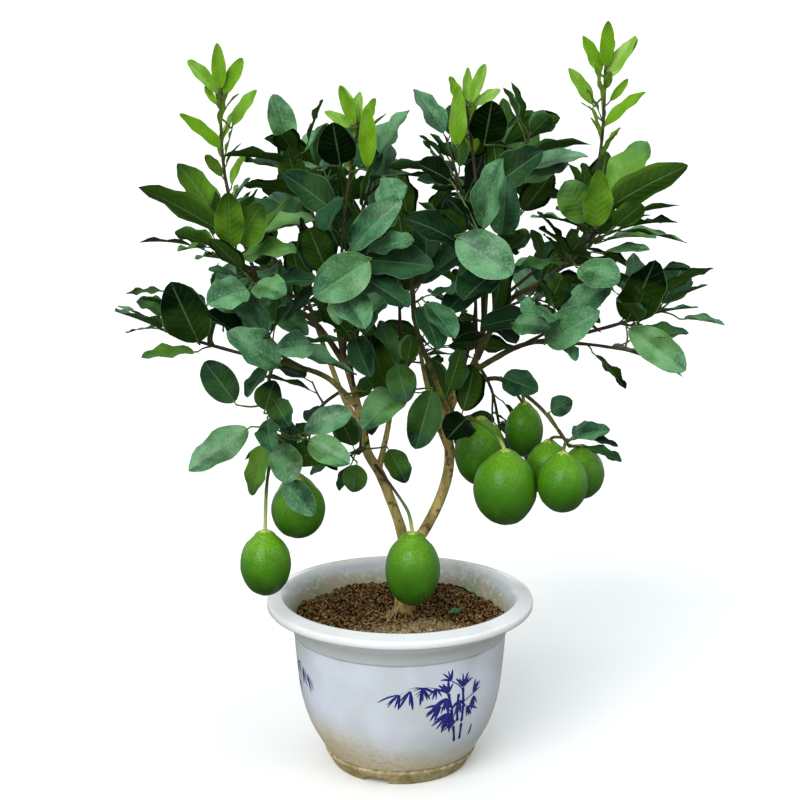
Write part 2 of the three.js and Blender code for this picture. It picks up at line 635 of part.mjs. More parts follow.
// A lemon: an oval of revolution with a drawn-in neck and a blunt nipple below
const FRUIT_SIDES = 8;
const FRUIT_PROFILE = [[0, -1.03], [0.68, -0.76], [1, -0.16], [0.72, 0.62], [0, 1]];
function fruitSolid(fruit) {
  const points = FRUIT_PROFILE.map(([r, z]) => new THREE.Vector2(r * fruit.across / 2, z * fruit.tall / 2));
  const geometry = new THREE.LatheGeometry(points, FRUIT_SIDES);
  geometry.rotateX(Math.PI / 2);
  geometry.translate(fruit.centre.x, fruit.centre.y, fruit.centre.z);
  return solidOf(geometry);
}

// The stalk that a fruit hangs on bends over from the stem and comes down on its neck
function fruitStalk(mass, fruit) {
  const neck = fruit.centre.clone().addScaledVector(UP, 0.5 * fruit.tall - 2);
  const near = nearestOnStem(mass.stem, neck, 4, (p) => 0.5 * Math.abs(p.x - neck.x));
  const bend = blend(near.place, neck, 0.75);
  bend.z = near.place.z + 0.45 * (neck.z - near.place.z);
  return new Line([near.place, bend, neck]);
}

const fuse = (solids) => solids.reduce((whole, solid) => whole.add(solid));

// The largest closed body of a solid, so that sealed hollows fill and loose scraps drop
function mainBody(solid) {
  return solid.decompose().reduce((best, body) => (body.volume() > best.volume() ? body : best));
}

// One mass: stem, shoots, leaves and fruit in one body, seated just clear of the limb that it grows from
function massSolid(mass) {
  const solids = [
    limbSolid(mass.stem, STEM_RADIUS, TWIG_SIDES, 5),
    ...mass.side.map((line) => limbSolid(line, SHOOT_RADIUS, TWIG_SIDES, 2)),
    ...mass.grown.map(leafSolid),
    ...mass.fruit.flatMap((fruit) => [
      fruitSolid(fruit),
      limbSolid(fruitStalk(mass, fruit), FRUIT_STALK_RADIUS, TWIG_SIDES, 3),
    ]),
  ];
  return mainBody(fuse(solids).subtract(woodSolid(mass.limb, SEAT)));
}

// A bough, or the trunk cut off flat where it stands on the soil
function woodSolid(limb, extra = 0) {
  if (limb.from) return limbSolid(limb.line, limb.radii, BOUGH_SIDES, 5, { extra, blunt: true });
  const trunk = limbSolid(limb.line, limb.radii, TRUNK_SIDES, 5, { extra, blunt: true, flare: limb.flare });
  const below = new THREE.BoxGeometry(100, 100, 100);
  below.translate(0, 0, SOIL_TOP + SEAT - 50);
  return trunk.subtract(solidOf(below));
}

// A turned solid about the pot's upright middle line
function turned(profile, sides) {
  const geometry = new THREE.LatheGeometry(profile.map(([r, z]) => new THREE.Vector2(r, z)), sides);
  geometry.rotateX(Math.PI / 2);
  return solidOf(geometry);
}

// The pot's outer face from its foot to the ridge of its rolled rim, radius and height
const POT_OUTSIDE = [
  [FOOT_RADIUS, 0], [FOOT_RADIUS + 3, 14.5], [75, 19], [82.5, 30], [90, 45], [95.5, 62], [99, 80],
  [104, 132], [106, 150], [109, 157.5], [129, 159.5], [RIM_RADIUS, 163], [127.5, 167.5], [122.5, RIDGE_HEIGHT],
];
// Its inner face from the rim's lip down to the floor
const POT_INSIDE = [
  [116, 169], [110.6, 164.5], [SOIL_RADIUS, SOIL_TOP], [101, 132], [96, 80], [87, 45], [66, FLOOR_TOP],
];

function potSolid() {
  const underside = [
    [0, 0], [FOOT_PAD_RADIUS, 0], [FOOT_PAD_RADIUS, FOOT_RECESS],
    [FOOT_RING_INNER, FOOT_RECESS], [FOOT_RING_INNER, 0],
  ];
  const shell = turned([...underside, ...POT_OUTSIDE, ...POT_INSIDE, [0, FLOOR_TOP]], POT_SIDES);
  const notch = new THREE.BoxGeometry(NOTCH_WIDTH, 30, 2 * NOTCH_HEIGHT);
  notch.translate(0, -FOOT_RADIUS, 0);
  return NOTCH_BEARINGS.reduce((pot, bearing) => {
    const cut = notch.clone().rotateZ(THREE.MathUtils.degToRad(bearing));
    return pot.subtract(solidOf(cut));
  }, shell);
}

function soilSolid() {
  const side = POT_INSIDE.filter(([, z]) => z < SOIL_TOP).reverse();
  return turned([
    [0, FLOOR_TOP + SEAT],
    ...side.map(([r, z]) => [r - SEAT, z + SEAT]),
    [SOIL_RADIUS - SEAT, SOIL_TOP],
    [0, SOIL_TOP],
  ], POT_SIDES);
}

// Materials as the photograph shows them
const paint = (color, roughness) => new THREE.MeshStandardMaterial({ color, roughness, metalness: 0 });
const GLAZE = 0xd3dde6;
const SOIL = 0x3b2a1f;
const BARK = 0x9c8053;
const FOLIAGE = 0x2c5a37;
const YOUNG = 0x7fb83c;

function meshOf(name, solid, material) {
  const { vertProperties, triVerts } = solid.getMesh();
  const geometry = new THREE.BufferGeometry();
  geometry.setAttribute('position', new THREE.BufferAttribute(vertProperties, 3));
  geometry.setIndex(new THREE.BufferAttribute(triVerts, 1));
  geometry.computeVertexNormals();
  const mesh = new THREE.Mesh(geometry, material);
  mesh.name = name;
  return mesh;
}

// The pot and its soil
const potGroup = new THREE.Group();
potGroup.add(meshOf('pot', potSolid(), paint(GLAZE, 0.35)));
potGroup.add(meshOf('soil', soilSolid(), paint(SOIL, 0.95)));

// The trunk and boughs, each cut just clear of the limb that it springs from and of its neighbour there
const limbs = growLimbs();
const woodGroup = new THREE.Group();
const made = [];
for (const limb of limbs.values()) {
  const near = made.filter((other) => other.name === limb.from || (other.from === limb.from && other.from
    && Math.abs(other.along - limb.along) < 0.12));
  const solid = near.reduce((body, other) => body.subtract(woodSolid(other, SEAT)), woodSolid(limb));
  woodGroup.add(meshOf(limb.name, mainBody(solid), paint(BARK, 0.8)));
  made.push(limb);
}

// The masses of leaves and fruit
const leafGroup = new THREE.Group();
for (const mass of growMasses(limbs)) {
  const color = mass.kind === FLUSH ? YOUNG : FOLIAGE;
  leafGroup.add(meshOf(mass.name, massSolid(mass), paint(color, 0.45)));
}

const tree = new THREE.Group();
tree.add(potGroup, woodGroup, leafGroup);
export default tree;
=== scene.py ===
import math

import bpy
import numpy as np
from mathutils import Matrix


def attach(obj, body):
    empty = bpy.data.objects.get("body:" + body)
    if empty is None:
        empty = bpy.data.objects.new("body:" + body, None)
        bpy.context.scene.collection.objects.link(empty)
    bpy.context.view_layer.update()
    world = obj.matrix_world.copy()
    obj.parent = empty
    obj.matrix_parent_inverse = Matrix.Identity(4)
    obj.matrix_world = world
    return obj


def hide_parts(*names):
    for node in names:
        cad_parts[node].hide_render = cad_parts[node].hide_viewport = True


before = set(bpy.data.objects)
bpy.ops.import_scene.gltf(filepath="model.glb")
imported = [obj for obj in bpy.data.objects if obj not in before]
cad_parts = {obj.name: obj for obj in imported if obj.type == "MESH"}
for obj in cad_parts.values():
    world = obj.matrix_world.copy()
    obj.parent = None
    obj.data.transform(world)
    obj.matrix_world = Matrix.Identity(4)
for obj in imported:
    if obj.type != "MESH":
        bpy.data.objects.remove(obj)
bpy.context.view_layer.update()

bl_info = {
    "name": "Potted Lemon Tree",
    "version": (1, 0, 0),
    "blender": (4, 5, 0),
    "location": "3D View > Sidebar > Lemon Tree",
    "description": "Dresses a young lemon tree in its pot with bark, twigs, leaves, fruit, soil and glaze",
    "category": "Object",
}

# The tables and the growth rule are the solids' own: millimetres in the tables, metres once they are read.
MM = 0.001
UP = np.array([0.0, 0.0, 1.0])
VIEW = np.array([0.0, -1.0, 0.0])
GOLDEN = math.radians(137.5)

# The crown's right half is the left half turned over at this plane and lifted
MIRROR_X = 11 * MM
MIRROR_LIFT = 19 * MM

# Leaves, grown and of new shoots, and how a leaf that stands out in view hangs
LEAF = {"length": (0.056, 0.076), "slim": (0.46, 0.54), "bend": (0.1, 0.55), "stalk": (0.007, 0.011),
        "forward": (0.15, 0.9)}
FLUSH = {"length": (0.034, 0.046), "slim": (0.28, 0.36), "bend": (-0.1, 0.35), "stalk": (0.003, 0.003),
         "forward": (0.9, 2.2)}
LEAF_FOLD = 0.22
SHOW_BEND = 0.25
SHOW_STALK = 0.003
TRIES = 12

# Clearances: of a leaf to limbs, to other masses' leaves and to sisters, and of a shoot. Two leaves whose
# middles are further apart than the last value can't meet.
LIMB_CLEAR = 0.0045
LEAF_CLEAR = 0.0075
SISTER_CLEAR = 0.005
FLUSH_CLEAR = 0.0025
SHOOT_CLEAR = 0.005
TOO_FAR_TO_MEET = 0.085

# Stems and shoots
SHOOT_SEED = 1000
SHOOT_TRIES = 8
TWIG_END = 0.96
STEM_SWING = 0.1

# The room that limbs, stems, shoots and footstalks keep for themselves as they thicken
LIMB_ROOM = 1.45
STEM_ROOM = (0.0032, 0.0024)
SHOOT_ROOM = (0.0022, 0.0022)
STALK_ROOM = (0.0011, 0.0011)

# Finer growth in the same spaces. The clearances are to sisters, to other leaves and to limbs, and FINE_MORE
# multiplies a mass's count of small leaves.
FINE_SEED = 3000
FINE_TRIES = 8
FINE_CLEAR = (0.003, 0.0045, 0.0035)
FINE_SIZE = (0.45, 0.85)
FINE_MORE = {"low_centre": 3, "inner": 1.8, "centre": 1.5, "stem_side": 1.6, "fruit_front": 0, "fruit_big": 0,
             "fruit_top": 0}
FINE_REACH = 0.93
FINE_STALK = 0.004
TWIGLET = (0.009, 0.026)
FLUSH_TWIGLET = (0.002, 0.005)

# Leaf blades: rows from foot to tip between two end points, five across, waves along a margin
ROWS = np.array([0.02, 0.07, 0.14, 0.23, 0.32, 0.42, 0.52, 0.62, 0.72, 0.82, 0.9, 0.96])
COLUMNS = np.array([-1, -0.5, 0, 0.5, 1])
WAVES = 2.2
BLUNT = 0.86

# How blades differ: twist towards the tip, share of the waving, of the fold, and skew of the outline
TWIST_SPREAD = 0.3
WAVE_SHARE = (0.3, 1.0)
FOLD_SHARE = (0.5, 1.9)
SKEW = (-0.4, 0.3)

# A blade's tone is dealt out at random by this share, and for the rest by how much it faces this way, towards
# the light: painted light
LEAF_TONE = 0.7
LEAF_SEED = 2126
YOUNG_SEED = 43
LIT_FACING = np.array([-0.3, -0.6, 0.74])

# Masses whose leaves are part grown, 0 old to 1 new
MASS_AGE = {"shoulder": 0.7, "outer": 0.15, "top": 0.12, "outer_low": 0.2, "mid": 0.1, "fruit_left": 0.1,
            "low_centre": 0.35, "stem_side": 0.3, "inner": 0.15}

# A leaf's age strays from its mass's by a spread and a shift, and a few small leaves are new
AGE_SPREAD = 0.08
AGE_SHIFT = -0.06
NEW_LEAF_CHANCE = 0.12
NEW_LEAF_AGE = 0.4

# Twigs as they are drawn: radius at foot and tip, rings, sides, and how woody, 1 bark to 0 green
TWIG_KINDS = {
    "stem": ((0.0019, 0.0012), 14, 9, (1.0, 0.6)),
    "shoot": ((0.0013, 0.0009), 10, 8, (0.8, 0.35)),
    "footstalk": ((0.001, 0.0008), 8, 7, (0.5, 0.15)),
    "twiglet": ((0.0009, 0.0007), 6, 6, (0.5, 0.1)),
    "petiole": ((0.0008, 0.0006), 5, 6, (0.1, 0.0)),
    "fruit": ((0.0013, 0.0018), 16, 9, (0.5, -0.6)),
}

# Wood: relief, knots, ribs and swells as shares of the radius, and the collar where a bough springs
WOOD_SEED = 31
WOOD_RINGS = 90
WOOD_SIDES = 30
BARK_FURROWS = 0.075
BARK_GRAIN = 0.04
TRUNK_KNOTS = 26
BOUGH_KNOTS = 5
KNOT_SIZE = (0.0016, 0.0034)
KNOT_RISE = (0.04, 0.13)
TRUNK_RIBS = 0.08
TRUNK_SWELLS = 0.12
COLLAR = 0.001

# Bark greens where a limb is thinner than the first radius, fully so the second value below it
SLIM_RADIUS = 0.0026
SLIM_EASE = 0.0006

# Short thick roots that swell out of the trunk's foot into the soil: radii, and places, in millimetres
FOOT_ROOTS = [
    ((7.4, 6), [(3, -1, 155), (6, -5, 151), (8, -8, 145)]),
    ((6, 4.5), [(1, -1, 155), (-4, -5, 151), (-8, -8, 145)]),
    ((6, 4.5), [(4, 2, 155), (9, 3, 151), (13, 4, 145)]),
]

# Fruit, as (radius, height) by half breadth and half height, from the nipple up: a narrow and a wide neck
FRUIT_NARROW = [(0.06, -1.01), (0.22, -0.965), (0.5, -0.86), (0.8, -0.6), (0.97, -0.24), (0.99, 0.1),
                (0.88, 0.44), (0.68, 0.7), (0.47, 0.84), (0.33, 0.92), (0.25, 0.97), (0.16, 1.0)]
FRUIT_WIDE = [(0.06, -1.01), (0.25, -0.965), (0.55, -0.84), (0.81, -0.59), (0.96, -0.28), (1.0, 0.04),
              (0.93, 0.36), (0.78, 0.6), (0.6, 0.76), (0.48, 0.86), (0.4, 0.95), (0.3, 1.0)]
FRUIT_SEED = 51
FRUIT_RINGS = 46
FRUIT_SIDES = 44
FRUIT_LUMPS = 0.02
FRUIT_DIMPLES = 0.005

# The cap on a fruit's neck, as (radius, height) in metres, its lobes, and its points below and above
CAP_OUTLINE = [(0.0018, -0.0012), (0.0048, -0.0016), (0.0054, -0.0004), (0.0040, 0.0010), (0.0024, 0.0022)]
CAP_LOBES = 0.22
CAP_LOBE_SHARES = (0.2, 1, 1, 0.8, 0.3)
CAP_ENDS = (-0.0013, 0.0026)

# Soil
SOIL_SEED = 17
SOIL_TOP = 0.148
SOIL_RADIUS = 0.1027
SOIL_DEPTH = 0.02
SOIL_TAPER = 0.96
SOIL_RINGS = 110
SOIL_SIDES = 320
SOIL_TONE = 0.2

# The soil's relief: rise and fineness of lumps, crumbs and clods, a mound round the trunk, a sag by the wall
LUMP_RISE = 0.003
LUMP_FINENESS = 36
CRUMB_RISE = 0.0014
CRUMB_FINENESS = 330
CLOD_RISE = 0.004
CLOD_FINENESS = 140
MOUND_X = 0.004
MOUND_REACH = 0.019
MOUND_RISE = 0.0006
WALL_SAG = 0.003

# Loose grains, more of them pale in front of the last value, and bits of straw
GRAIN_LEAST = 0.0006
GRAIN_SPREAD = 0.0024
PALE_SHARE = 0.3
PALE_MORE = 0.25
PALE_FRONT = -0.03
STRAWS = 46
STRAW_LENGTH = (0.004, 0.017)
STRAW_RADIUS = 0.00038

# Roots that show on the soil: bearing in degrees and reach, where they start, and their radius
ROOTS = [(-122, 0.046), (-134, 0.05), (-150, 0.04), (-104, 0.036), (170, 0.03), (40, 0.03)]
ROOT_START = 0.006
ROOT_TAPER = 0.0008
ROOT_TIP = 0.0005

# A scrap of leaf on the soil
SCRAP = {"foot": (0.046, -0.016, 0.1535), "way": (0.8, 0.4, 0.32), "face": (-0.3, -0.2, 1.0), "length": 0.016,
         "width": 0.008, "bend": 0.5, "stalk": 0.001}

# Pot
POT_SIDES = 288
POT_STEP = 0.0018
POT_WAVE = 0.0005

# The pot's section as (radius, height) in millimetres: groups that meet at a sharp edge
POT_STRETCHES = [
    [(0.6, 3), (30, 3)],
    [(30, 3), (54, 3)],
    [(54, 3), (54.4, 0.8), (55, 0)],
    [(55, 0), (66.5, 0)],
    [(66.5, 0), (67.3, 0.4), (67.8, 1.2), (70.6, 6), (73.4, 10.6), (74.8, 13), (75, 13.9), (74.5, 14.8),
     (73.4, 15.5)],
    [(73.4, 15.5), (76, 19), (82.5, 30), (90, 45), (95.5, 62), (99, 80), (101.8, 106), (103.4, 126),
     (103.7, 134)],
    [(103.7, 134), (104.9, 135.2), (105.3, 137), (105.8, 145), (106.4, 152)],
    [(106.4, 152), (107.4, 156.2), (110, 158.2), (118, 159), (127.6, 159.4)],
    [(127.6, 159.4), (129.4, 159.9), (130.2, 161.6), (130.3, 164.4), (129.9, 166.6), (128.7, 167.5)],
    [(128.7, 167.5), (123, 169.0), (117.2, 170.6)],
    [(117.2, 170.6), (115.9, 170.7), (115.1, 169.9)],
    [(115.1, 169.9), (111.6, 165.5), (107, 158), (103.8, 149), (101, 132), (96, 80), (87, 45), (66, 12),
     (0.6, 12)],
]
RIM_INNER = 10

# Notches in the foot ring, with a ragged edge
NOTCH_BEARINGS = (10, 130, 250)
NOTCH_RISE = 0.0045
NOTCH_HALF = 0.010
NOTCH_EASE = 0.003
NOTCH_RAGGED = 0.0015

# Heights on the pot where the glaze changes: the foot ring's seam and top, the step at the neck line with its
# painted shade, the painted shade under the lip, the painted highlight on the lip, the inner wall
SEAM = 0.0155
NECK_LINE = 0.1338
LIP_SHADE = 0.141
LIP_HIGHLIGHT = (0.146, 0.152)
FOOT_TOP = (0.021, 0.012)
INNER_RIM = (0.170, 0.164)
INNER_WALL = (0.170, 0.150)

# Painted sprays, in millimetres on the unrolled wall: across from the spray's middle, and height
SPRAY_SEED = 81
SPRAY_BEARINGS = (-69, -172)
SPRAY_RADIUS = 0.0955
PAINTED_WALL = (0.0145, 0.1335)
INK_LIFT = 0.00018
JOINT_GAP = 0.04
CANE_HALF = 0.0012
JOINT_SWELL = 0.0005
TWIG_HALF = 0.0005
LEAF_STROKE = (0.075, 0.115)
SPRAY_STALKS = [
    [(22, 47), (17, 67), (13, 86), (9, 103)],
    [(28, 48), (26, 68), (26, 88), (24, 106)],
    [(21, 70), (19, 87), (20, 100)],
]
SPRAY_TWIGS = [
    [(10, 100), (1, 108), (-14, 112), (-28, 110), (-37, 104)],
    [(13, 83), (5, 89), (-2, 87)],
    [(25, 90), (33, 94), (42, 98)],
    [(24, 103), (18, 110), (11, 115)],
]
SPRAY_TUFTS = [
    # across, height, leaves, heading in degrees, spread in degrees, length
    (-35, 106, 5, 232, 64, 20), (-26, 110, 6, 254, 70, 20), (-16, 112, 5, 290, 80, 17),
    (-13, 111, 4, 204, 60, 15), (-3, 110, 4, 262, 90, 14),
    (2, 91, 5, 222, 90, 18), (8, 98, 5, 246, 90, 17), (12, 82, 6, 232, 84, 20), (21, 93, 6, 262, 110, 16),
    (9, 103, 5, 116, 110, 13), (24, 106, 6, 80, 120, 14), (37, 96, 4, 58, 90, 13), (38, 93, 4, 276, 80, 14),
    (30, 84, 4, 300, 80, 15), (11, 115, 4, 124, 100, 12), (19, 72, 4, 214, 60, 15), (40, 50, 1, 80, 0, 15),
]

# Stage
CAMERA_PLACE = (0.0, -1.4, 0.6465)
CAMERA_DIP = 11.452
CAMERA_LENS = 67.26

FLOOR_HALF = 30.0
SKY_STRENGTH = 1.12
SKY = [
    # share of the way from straight down to straight up, and colour
    (0.0, (0.2, 0.2, 0.18, 1)), (0.46, (0.3, 0.3, 0.28, 1)), (0.49, (1, 1, 1, 1)), (0.53, (1, 1, 1, 1)),
    (0.57, (0.3, 0.32, 0.33, 1)), (0.72, (0.4, 0.44, 0.45, 1)), (0.86, (0.94, 1, 1, 1)),
    (1.0, (0.96, 1, 1, 1)),
]

# Lights: kind, place, strength, and the sun's breadth in radians or the panel's in metres
LIGHTS = [
    ("SUN", (-0.6, -1.2, 1.3), 2.3, 0.7),
    ("AREA", (1.3, -1.2, 1.2), 5.0, 1.2),
]


def limb_row(name, source, along, radii, via, flare=0):
    """A row of LIMBS: which earlier limb it leaves and where along it, its radii at both ends, the places
    that it runs through, and its flare at the foot."""
    return {"name": name, "source": source, "along": along, "radii": radii, "via": via, "flare": flare}


def mass_row(name, bough, along, centre, reach, shoots, leaves, seeds, kind=LEAF, end=None,
             show=(), fruit=()):
    """A row of MASSES: its bough and where along it the stem starts, its space, how many side shoots and
    leaves it has, a seed for each side, and the stem's end where the space doesn't give it."""
    return {"name": name, "bough": bough, "along": along, "centre": centre, "reach": reach, "shoots": shoots,
            "leaves": leaves, "seeds": seeds, "kind": kind, "end": end, "show": show, "fruit": fruit}


# Limbs, in millimetres
LIMBS = [
  limb_row("trunk", None, 0, [8, 6.34], [[2, 0, 143], [4, 0, 170], [7, -1, 196], [5, 0, 218]], flare=1.8),
  limb_row("bough_left", "trunk", 0.93, [5.24, 4.28],
    [[-2, -2, 245], [-18, -6, 289], [-31, -10, 314], [-36, -12, 341]]),
  limb_row("bough_right", "trunk", 0.93, [5.66, 4.55],
    [[23, 2, 232], [42, 8, 271], [48, 10, 309], [42, 10, 341]]),
  limb_row("bough_left_upper", "bough_left", 1, [4, 2.34],
    [[-43, -14, 373], [-54, -16, 414], [-61, -18, 462]]),
  limb_row("bough_right_upper", "bough_right", 1, [4.28, 2.34],
    [[55, 4, 373], [75, -4, 412], [81, -8, 474]]),
  limb_row("bough_left_arm", "bough_left_upper", 0.55, [2.9, 1.93],
    [[-80, -12, 440], [-109, -22, 460], [-142, -34, 489]]),
  limb_row("bough_right_arm", "bough_right_upper", 0.62, [2.9, 1.93],
    [[101, -12, 458], [131, -22, 479], [164, -34, 508]]),
  limb_row("bough_left_branch", "bough_left_upper", 0.2, [2.9, 1.79],
    [[-67, -32, 390], [-96, -52, 405], [-125, -66, 414]]),
  limb_row("bough_right_branch", "bough_right_upper", 0.45, [2.9, 1.79],
    [[99, -22, 413], [121, -46, 426], [147, -62, 432]]),
  limb_row("bough_centre", "bough_left", 0.55, [3.03, 1.79],
    [[-15, 2, 318], [-9, 8, 349], [-3, 10, 388], [0, 8, 424]]),
  limb_row("bough_left_back", "bough_left", 0.95, [3.17, 1.93],
    [[-54, 35, 356], [-75, 80, 398], [-94, 112, 444]]),
  limb_row("bough_right_back", "bough_right", 0.95, [3.17, 1.93],
    [[61, 50, 368], [89, 90, 412], [110, 115, 459]]),
  limb_row("bough_back", "bough_right", 0.75, [3.03, 1.79],
    [[36, 45, 334], [24, 95, 375], [15, 128, 432]]),
  limb_row("bough_front", "bough_right_upper", 0.12, [2.76, 1.79],
    [[34, -20, 384], [22, -58, 419], [12, -92, 455]]),
  limb_row("bough_fruit", "bough_right_upper", 0.3, [2.34, 1.52],
    [[86, -22, 388], [106, -40, 383], [128, -58, 368], [145, -66, 348]]),
]

# Masses, in millimetres. One with two seeds has a twin on the right, and its bough's name is filled up with
# the side. A shown leaf is its foot, its tip, its width and how far it faces the viewer. A fruit is its
# centre, breadth and height.
MASSES = [
  mass_row("flush_outer", "arm", 0.86, [-164, -36, 641], [50, 46, 80], 0, 6, [69, 56], kind=FLUSH,
    end=[-161, -36, 656],
    show=[[-160, -40, 651, -162, -40, 694, 13, 0.8],
      [-159, -38, 600, -197, -44, 632, 14, 0.5],
      [-152, -36, 619, -127, -42, 653, 14, 0.5],
      [-160, -34, 647, -190, -30, 679, 13, 0.6],
      [-158, -38, 646, -140, -36, 681, 13, 0.6]]),
  mass_row("shoulder", "arm", 1, [-169, -74, 547], [113, 63, 72], 2, 6, [191, 63], end=[-153, -62, 512],
    show=[[-158, -74, 530, -227, -96, 570, 36, -0.5],
      [-161, -62, 534, -198, -56, 589, 36, 0.3],
      [-144, -84, 520, -119, -104, 557, 34, 0.9],
      [-148, -94, 515, -146, -118, 568, 26, 0.9]]),
  mass_row("outer", "branch", 1, [-205, -80, 454], [99, 69, 69], 1, 4, [74, 61], end=[-211, -74, 441],
    show=[[-178, -88, 431, -199, -108, 490, 42, 1],
      [-210, -66, 476, -245, -72, 474, 16, 0.1],
      [-218, -76, 448, -252, -80, 464, 18, -0.3]]),
  mass_row("front_inner", "upper", 0.755, [-47, -112, 507], [80, 69, 75], 3, 8, [193, 90],
    show=[[-24, -128, 512, -73, -146, 481, 40, 0.75],
      [-23, -84, 555, 7, -100, 571, 28, 0.6]]),
  mass_row("low", "branch", 0.55, [-115, -112, 435], [91, 66, 61], 2, 6, [95, 153],
    show=[[-103, -118, 417, -149, -136, 449, 34, 0.6],
      [-75, -112, 435, -107, -136, 434, 26, 0.6]]),
  mass_row("top", "upper", 1, [-93, -20, 583], [83, 77, 86], 3, 9, [132, 191],
    show=[[-58, -50, 545, -105, -62, 581, 34, 0.6],
      [-54, -28, 585, -60, -44, 625, 36, 0.9],
      [-71, -20, 583, -125, -10, 609, 30, -0.4]]),
  mass_row("flush_inner", "upper", 0.8, [-41, -34, 623], [40, 38, 54], 0, 5, [54, 102], kind=FLUSH,
    end=[-37, -32, 625],
    show=[[-29, -44, 582, -29, -50, 637, 16, 0.9],
      [-40, -36, 619, -54, -36, 657, 11, 0.7],
      [-42, -34, 619, -68, -34, 634, 11, 0.6],
      [-34, -34, 618, -22, -34, 646, 11, 0.7]]),
  mass_row("top_inner", "upper", 0.62, [-24, 20, 572], [72, 72, 77], 2, 8, [158, 3],
    show=[[-20, 14, 592, 10, 20, 635, 34, 0.3]]),
  mass_row("fruit_left", "bough_left_branch", 0.86, [-117, -96, 318], [138, 83, 152], 0, 0, [1],
    end=[-110, -96, 349],
    show=[[-133, -100, 359, -188, -112, 321, 30, 0.7],
      [-88, -98, 352, -43, -92, 371, 26, 0.5],
      [-83, -104, 349, -44, -118, 329, 26, 0.8],
      [-103, -112, 349, -99, -134, 315, 30, 0.9],
      [-146, -92, 377, -175, -84, 415, 30, 0.6],
      [-122, -90, 369, -112, -84, 398, 26, 0.5],
      [-103, -118, 316, -76, -118, 282, 24, 0.8]],
    fruit=[[-122, -100, 232, 46, 60], [-93, -80, 278, 50, 56]]),
  mass_row("fruit_big", "bough_right", 0.85, [79, -50, 321], [110, 83, 110], 1, 3, [178], end=[65, -40, 356],
    fruit=[[96, -78, 297, 58, 69], [77, -8, 314, 50, 66]]),
  mass_row("fruit_right", "bough_fruit", 1, [147, -66, 339], [124, 83, 110], 0, 2, [61], end=[155, -68, 333],
    show=[[134, -78, 367, 155, -86, 380, 20, 0.6],
      [158, -66, 342, 192, -70, 349, 22, 0.4]],
    fruit=[[147, -88, 304, 46, 55], [169, -50, 304, 42, 50], [140, -32, 304, 44, 52]]),
  mass_row("fruit_top", "bough_fruit", 0.35, [110, -60, 375], [83, 69, 83], 0, 0, [1],
    show=[[91, -66, 398, 124, -86, 388, 28, 0.7]],
    fruit=[[120, 12, 331, 37, 53]]),
  mass_row("fruit_front", "bough_left", 0.64, [8, -44, 237], [69, 69, 110], 0, 0, [1], end=[-4, -30, 280],
    fruit=[[12, -46, 209, 52, 70]]),
  mass_row("outer_low", "bough_right_branch", 0.68, [227, -88, 426], [83, 62, 69], 0, 2, [201],
    end=[202, -109, 429],
    show=[[199, -98, 449, 251, -110, 411, 32, 0.7]]),
  mass_row("low_centre", "bough_centre", 0.55, [5, -30, 377], [69, 83, 72], 2, 4, [129],
    show=[[30, -52, 385, 14, -62, 329, 32, 1],
      [-4, -50, 409, 7, -66, 374, 28, 0.8]]),
  mass_row("stem_side", "bough_left", 0.78, [-45, -34, 317], [72, 61, 75], 1, 3, [57],
    show=[[-40, -44, 313, -44, -58, 287, 24, 0.8],
      [-12, -38, 326, 6, -46, 293, 24, 0.6]]),
  mass_row("mid", "arm", 0.66, [-128, -84, 484], [86, 63, 66], 2, 7, [38, 63],
    show=[[-131, -104, 483, -165, -134, 473, 32, 0.5]]),
  mass_row("centre_front", "bough_front", 1, [10, -110, 487], [69, 69, 83], 2, 6, [146]),
  mass_row("centre", "bough_centre", 1, [-2, 10, 472], [66, 63, 83], 3, 8, [176]),
  mass_row("inner", "upper", 0.34, [-46, -40, 437], [63, 63, 69], 2, 6, [50, 211]),
  mass_row("back_outer", "back", 0.9, [-173, 50, 493], [99, 75, 91], 3, 9, [209, 162]),
  mass_row("back_high", "back", 1, [-78, 100, 546], [97, 86, 91], 3, 9, [112, 182]),
  mass_row("back_low", "back", 0.8, [-118, 125, 422], [99, 86, 83], 3, 9, [104, 102]),
  mass_row("centre_back", "bough_back", 1, [12, 140, 503], [91, 83, 105], 3, 9, [53]),
  mass_row("low_back", "bough_back", 0.6, [21, 120, 391], [110, 88, 77], 3, 9, [60]),
  mass_row("fruit_back_right", "bough_right_back", 0.5, [104, 112, 298], [97, 83, 105], 2, 5, [103],
    fruit=[[107, 118, 253, 50, 60]]),
  mass_row("fruit_back_left", "bough_left_back", 0.4, [-98, 105, 299], [102, 83, 110], 2, 5, [117],
    fruit=[[-107, 112, 233, 46, 56]]),
]


class Dice:
    """A small multiplying random number source, the same for the same seed."""

    def __init__(self, seed):
        self.state = (seed * 16807 + 1013) % 2147483647
        for _ in range(3):
            self.roll()

    def roll(self):
        self.state = self.state * 48271 % 2147483647
        return self.state / 2147483647

    def between(self, limits):
        return limits[0] + (limits[1] - limits[0]) * self.roll()


def unit(v):
    return v / np.linalg.norm(v, axis=-1, keepdims=True)


class Line:
    """A smooth line through a few points: Catmull-Rom, even steps, its ends not repeated."""

    def __init__(self, points):
        self.points = np.array(points, float)

    def at(self, share):
        last = len(self.points) - 1
        u = np.clip(np.asarray(share, float), 0, 1) * last
        i = np.minimum(np.floor(u).astype(int), last - 1)
        f = (u - i)[..., None]
        a, b = self.points[np.maximum(i - 1, 0)], self.points[i]
        c, d = self.points[i + 1], self.points[np.minimum(i + 2, last)]
        return 0.5 * (2 * b + (c - a) * f + (2 * a - 5 * b + 4 * c - d) * f * f
                      + (3 * b - a - 3 * c + d) * f * f * f)

    def way(self, share):
        share = np.asarray(share, float)
        return unit(self.at(np.minimum(share + 0.01, 1)) - self.at(np.maximum(share - 0.01, 0)))


def across(way):
    """Two unit directions square to a way."""
    side = np.cross(way, UP)
    if side @ side < 0.01:
        side = np.array([1.0, 0.0, 0.0])
    side = unit(side)
    return side, np.cross(side, way)


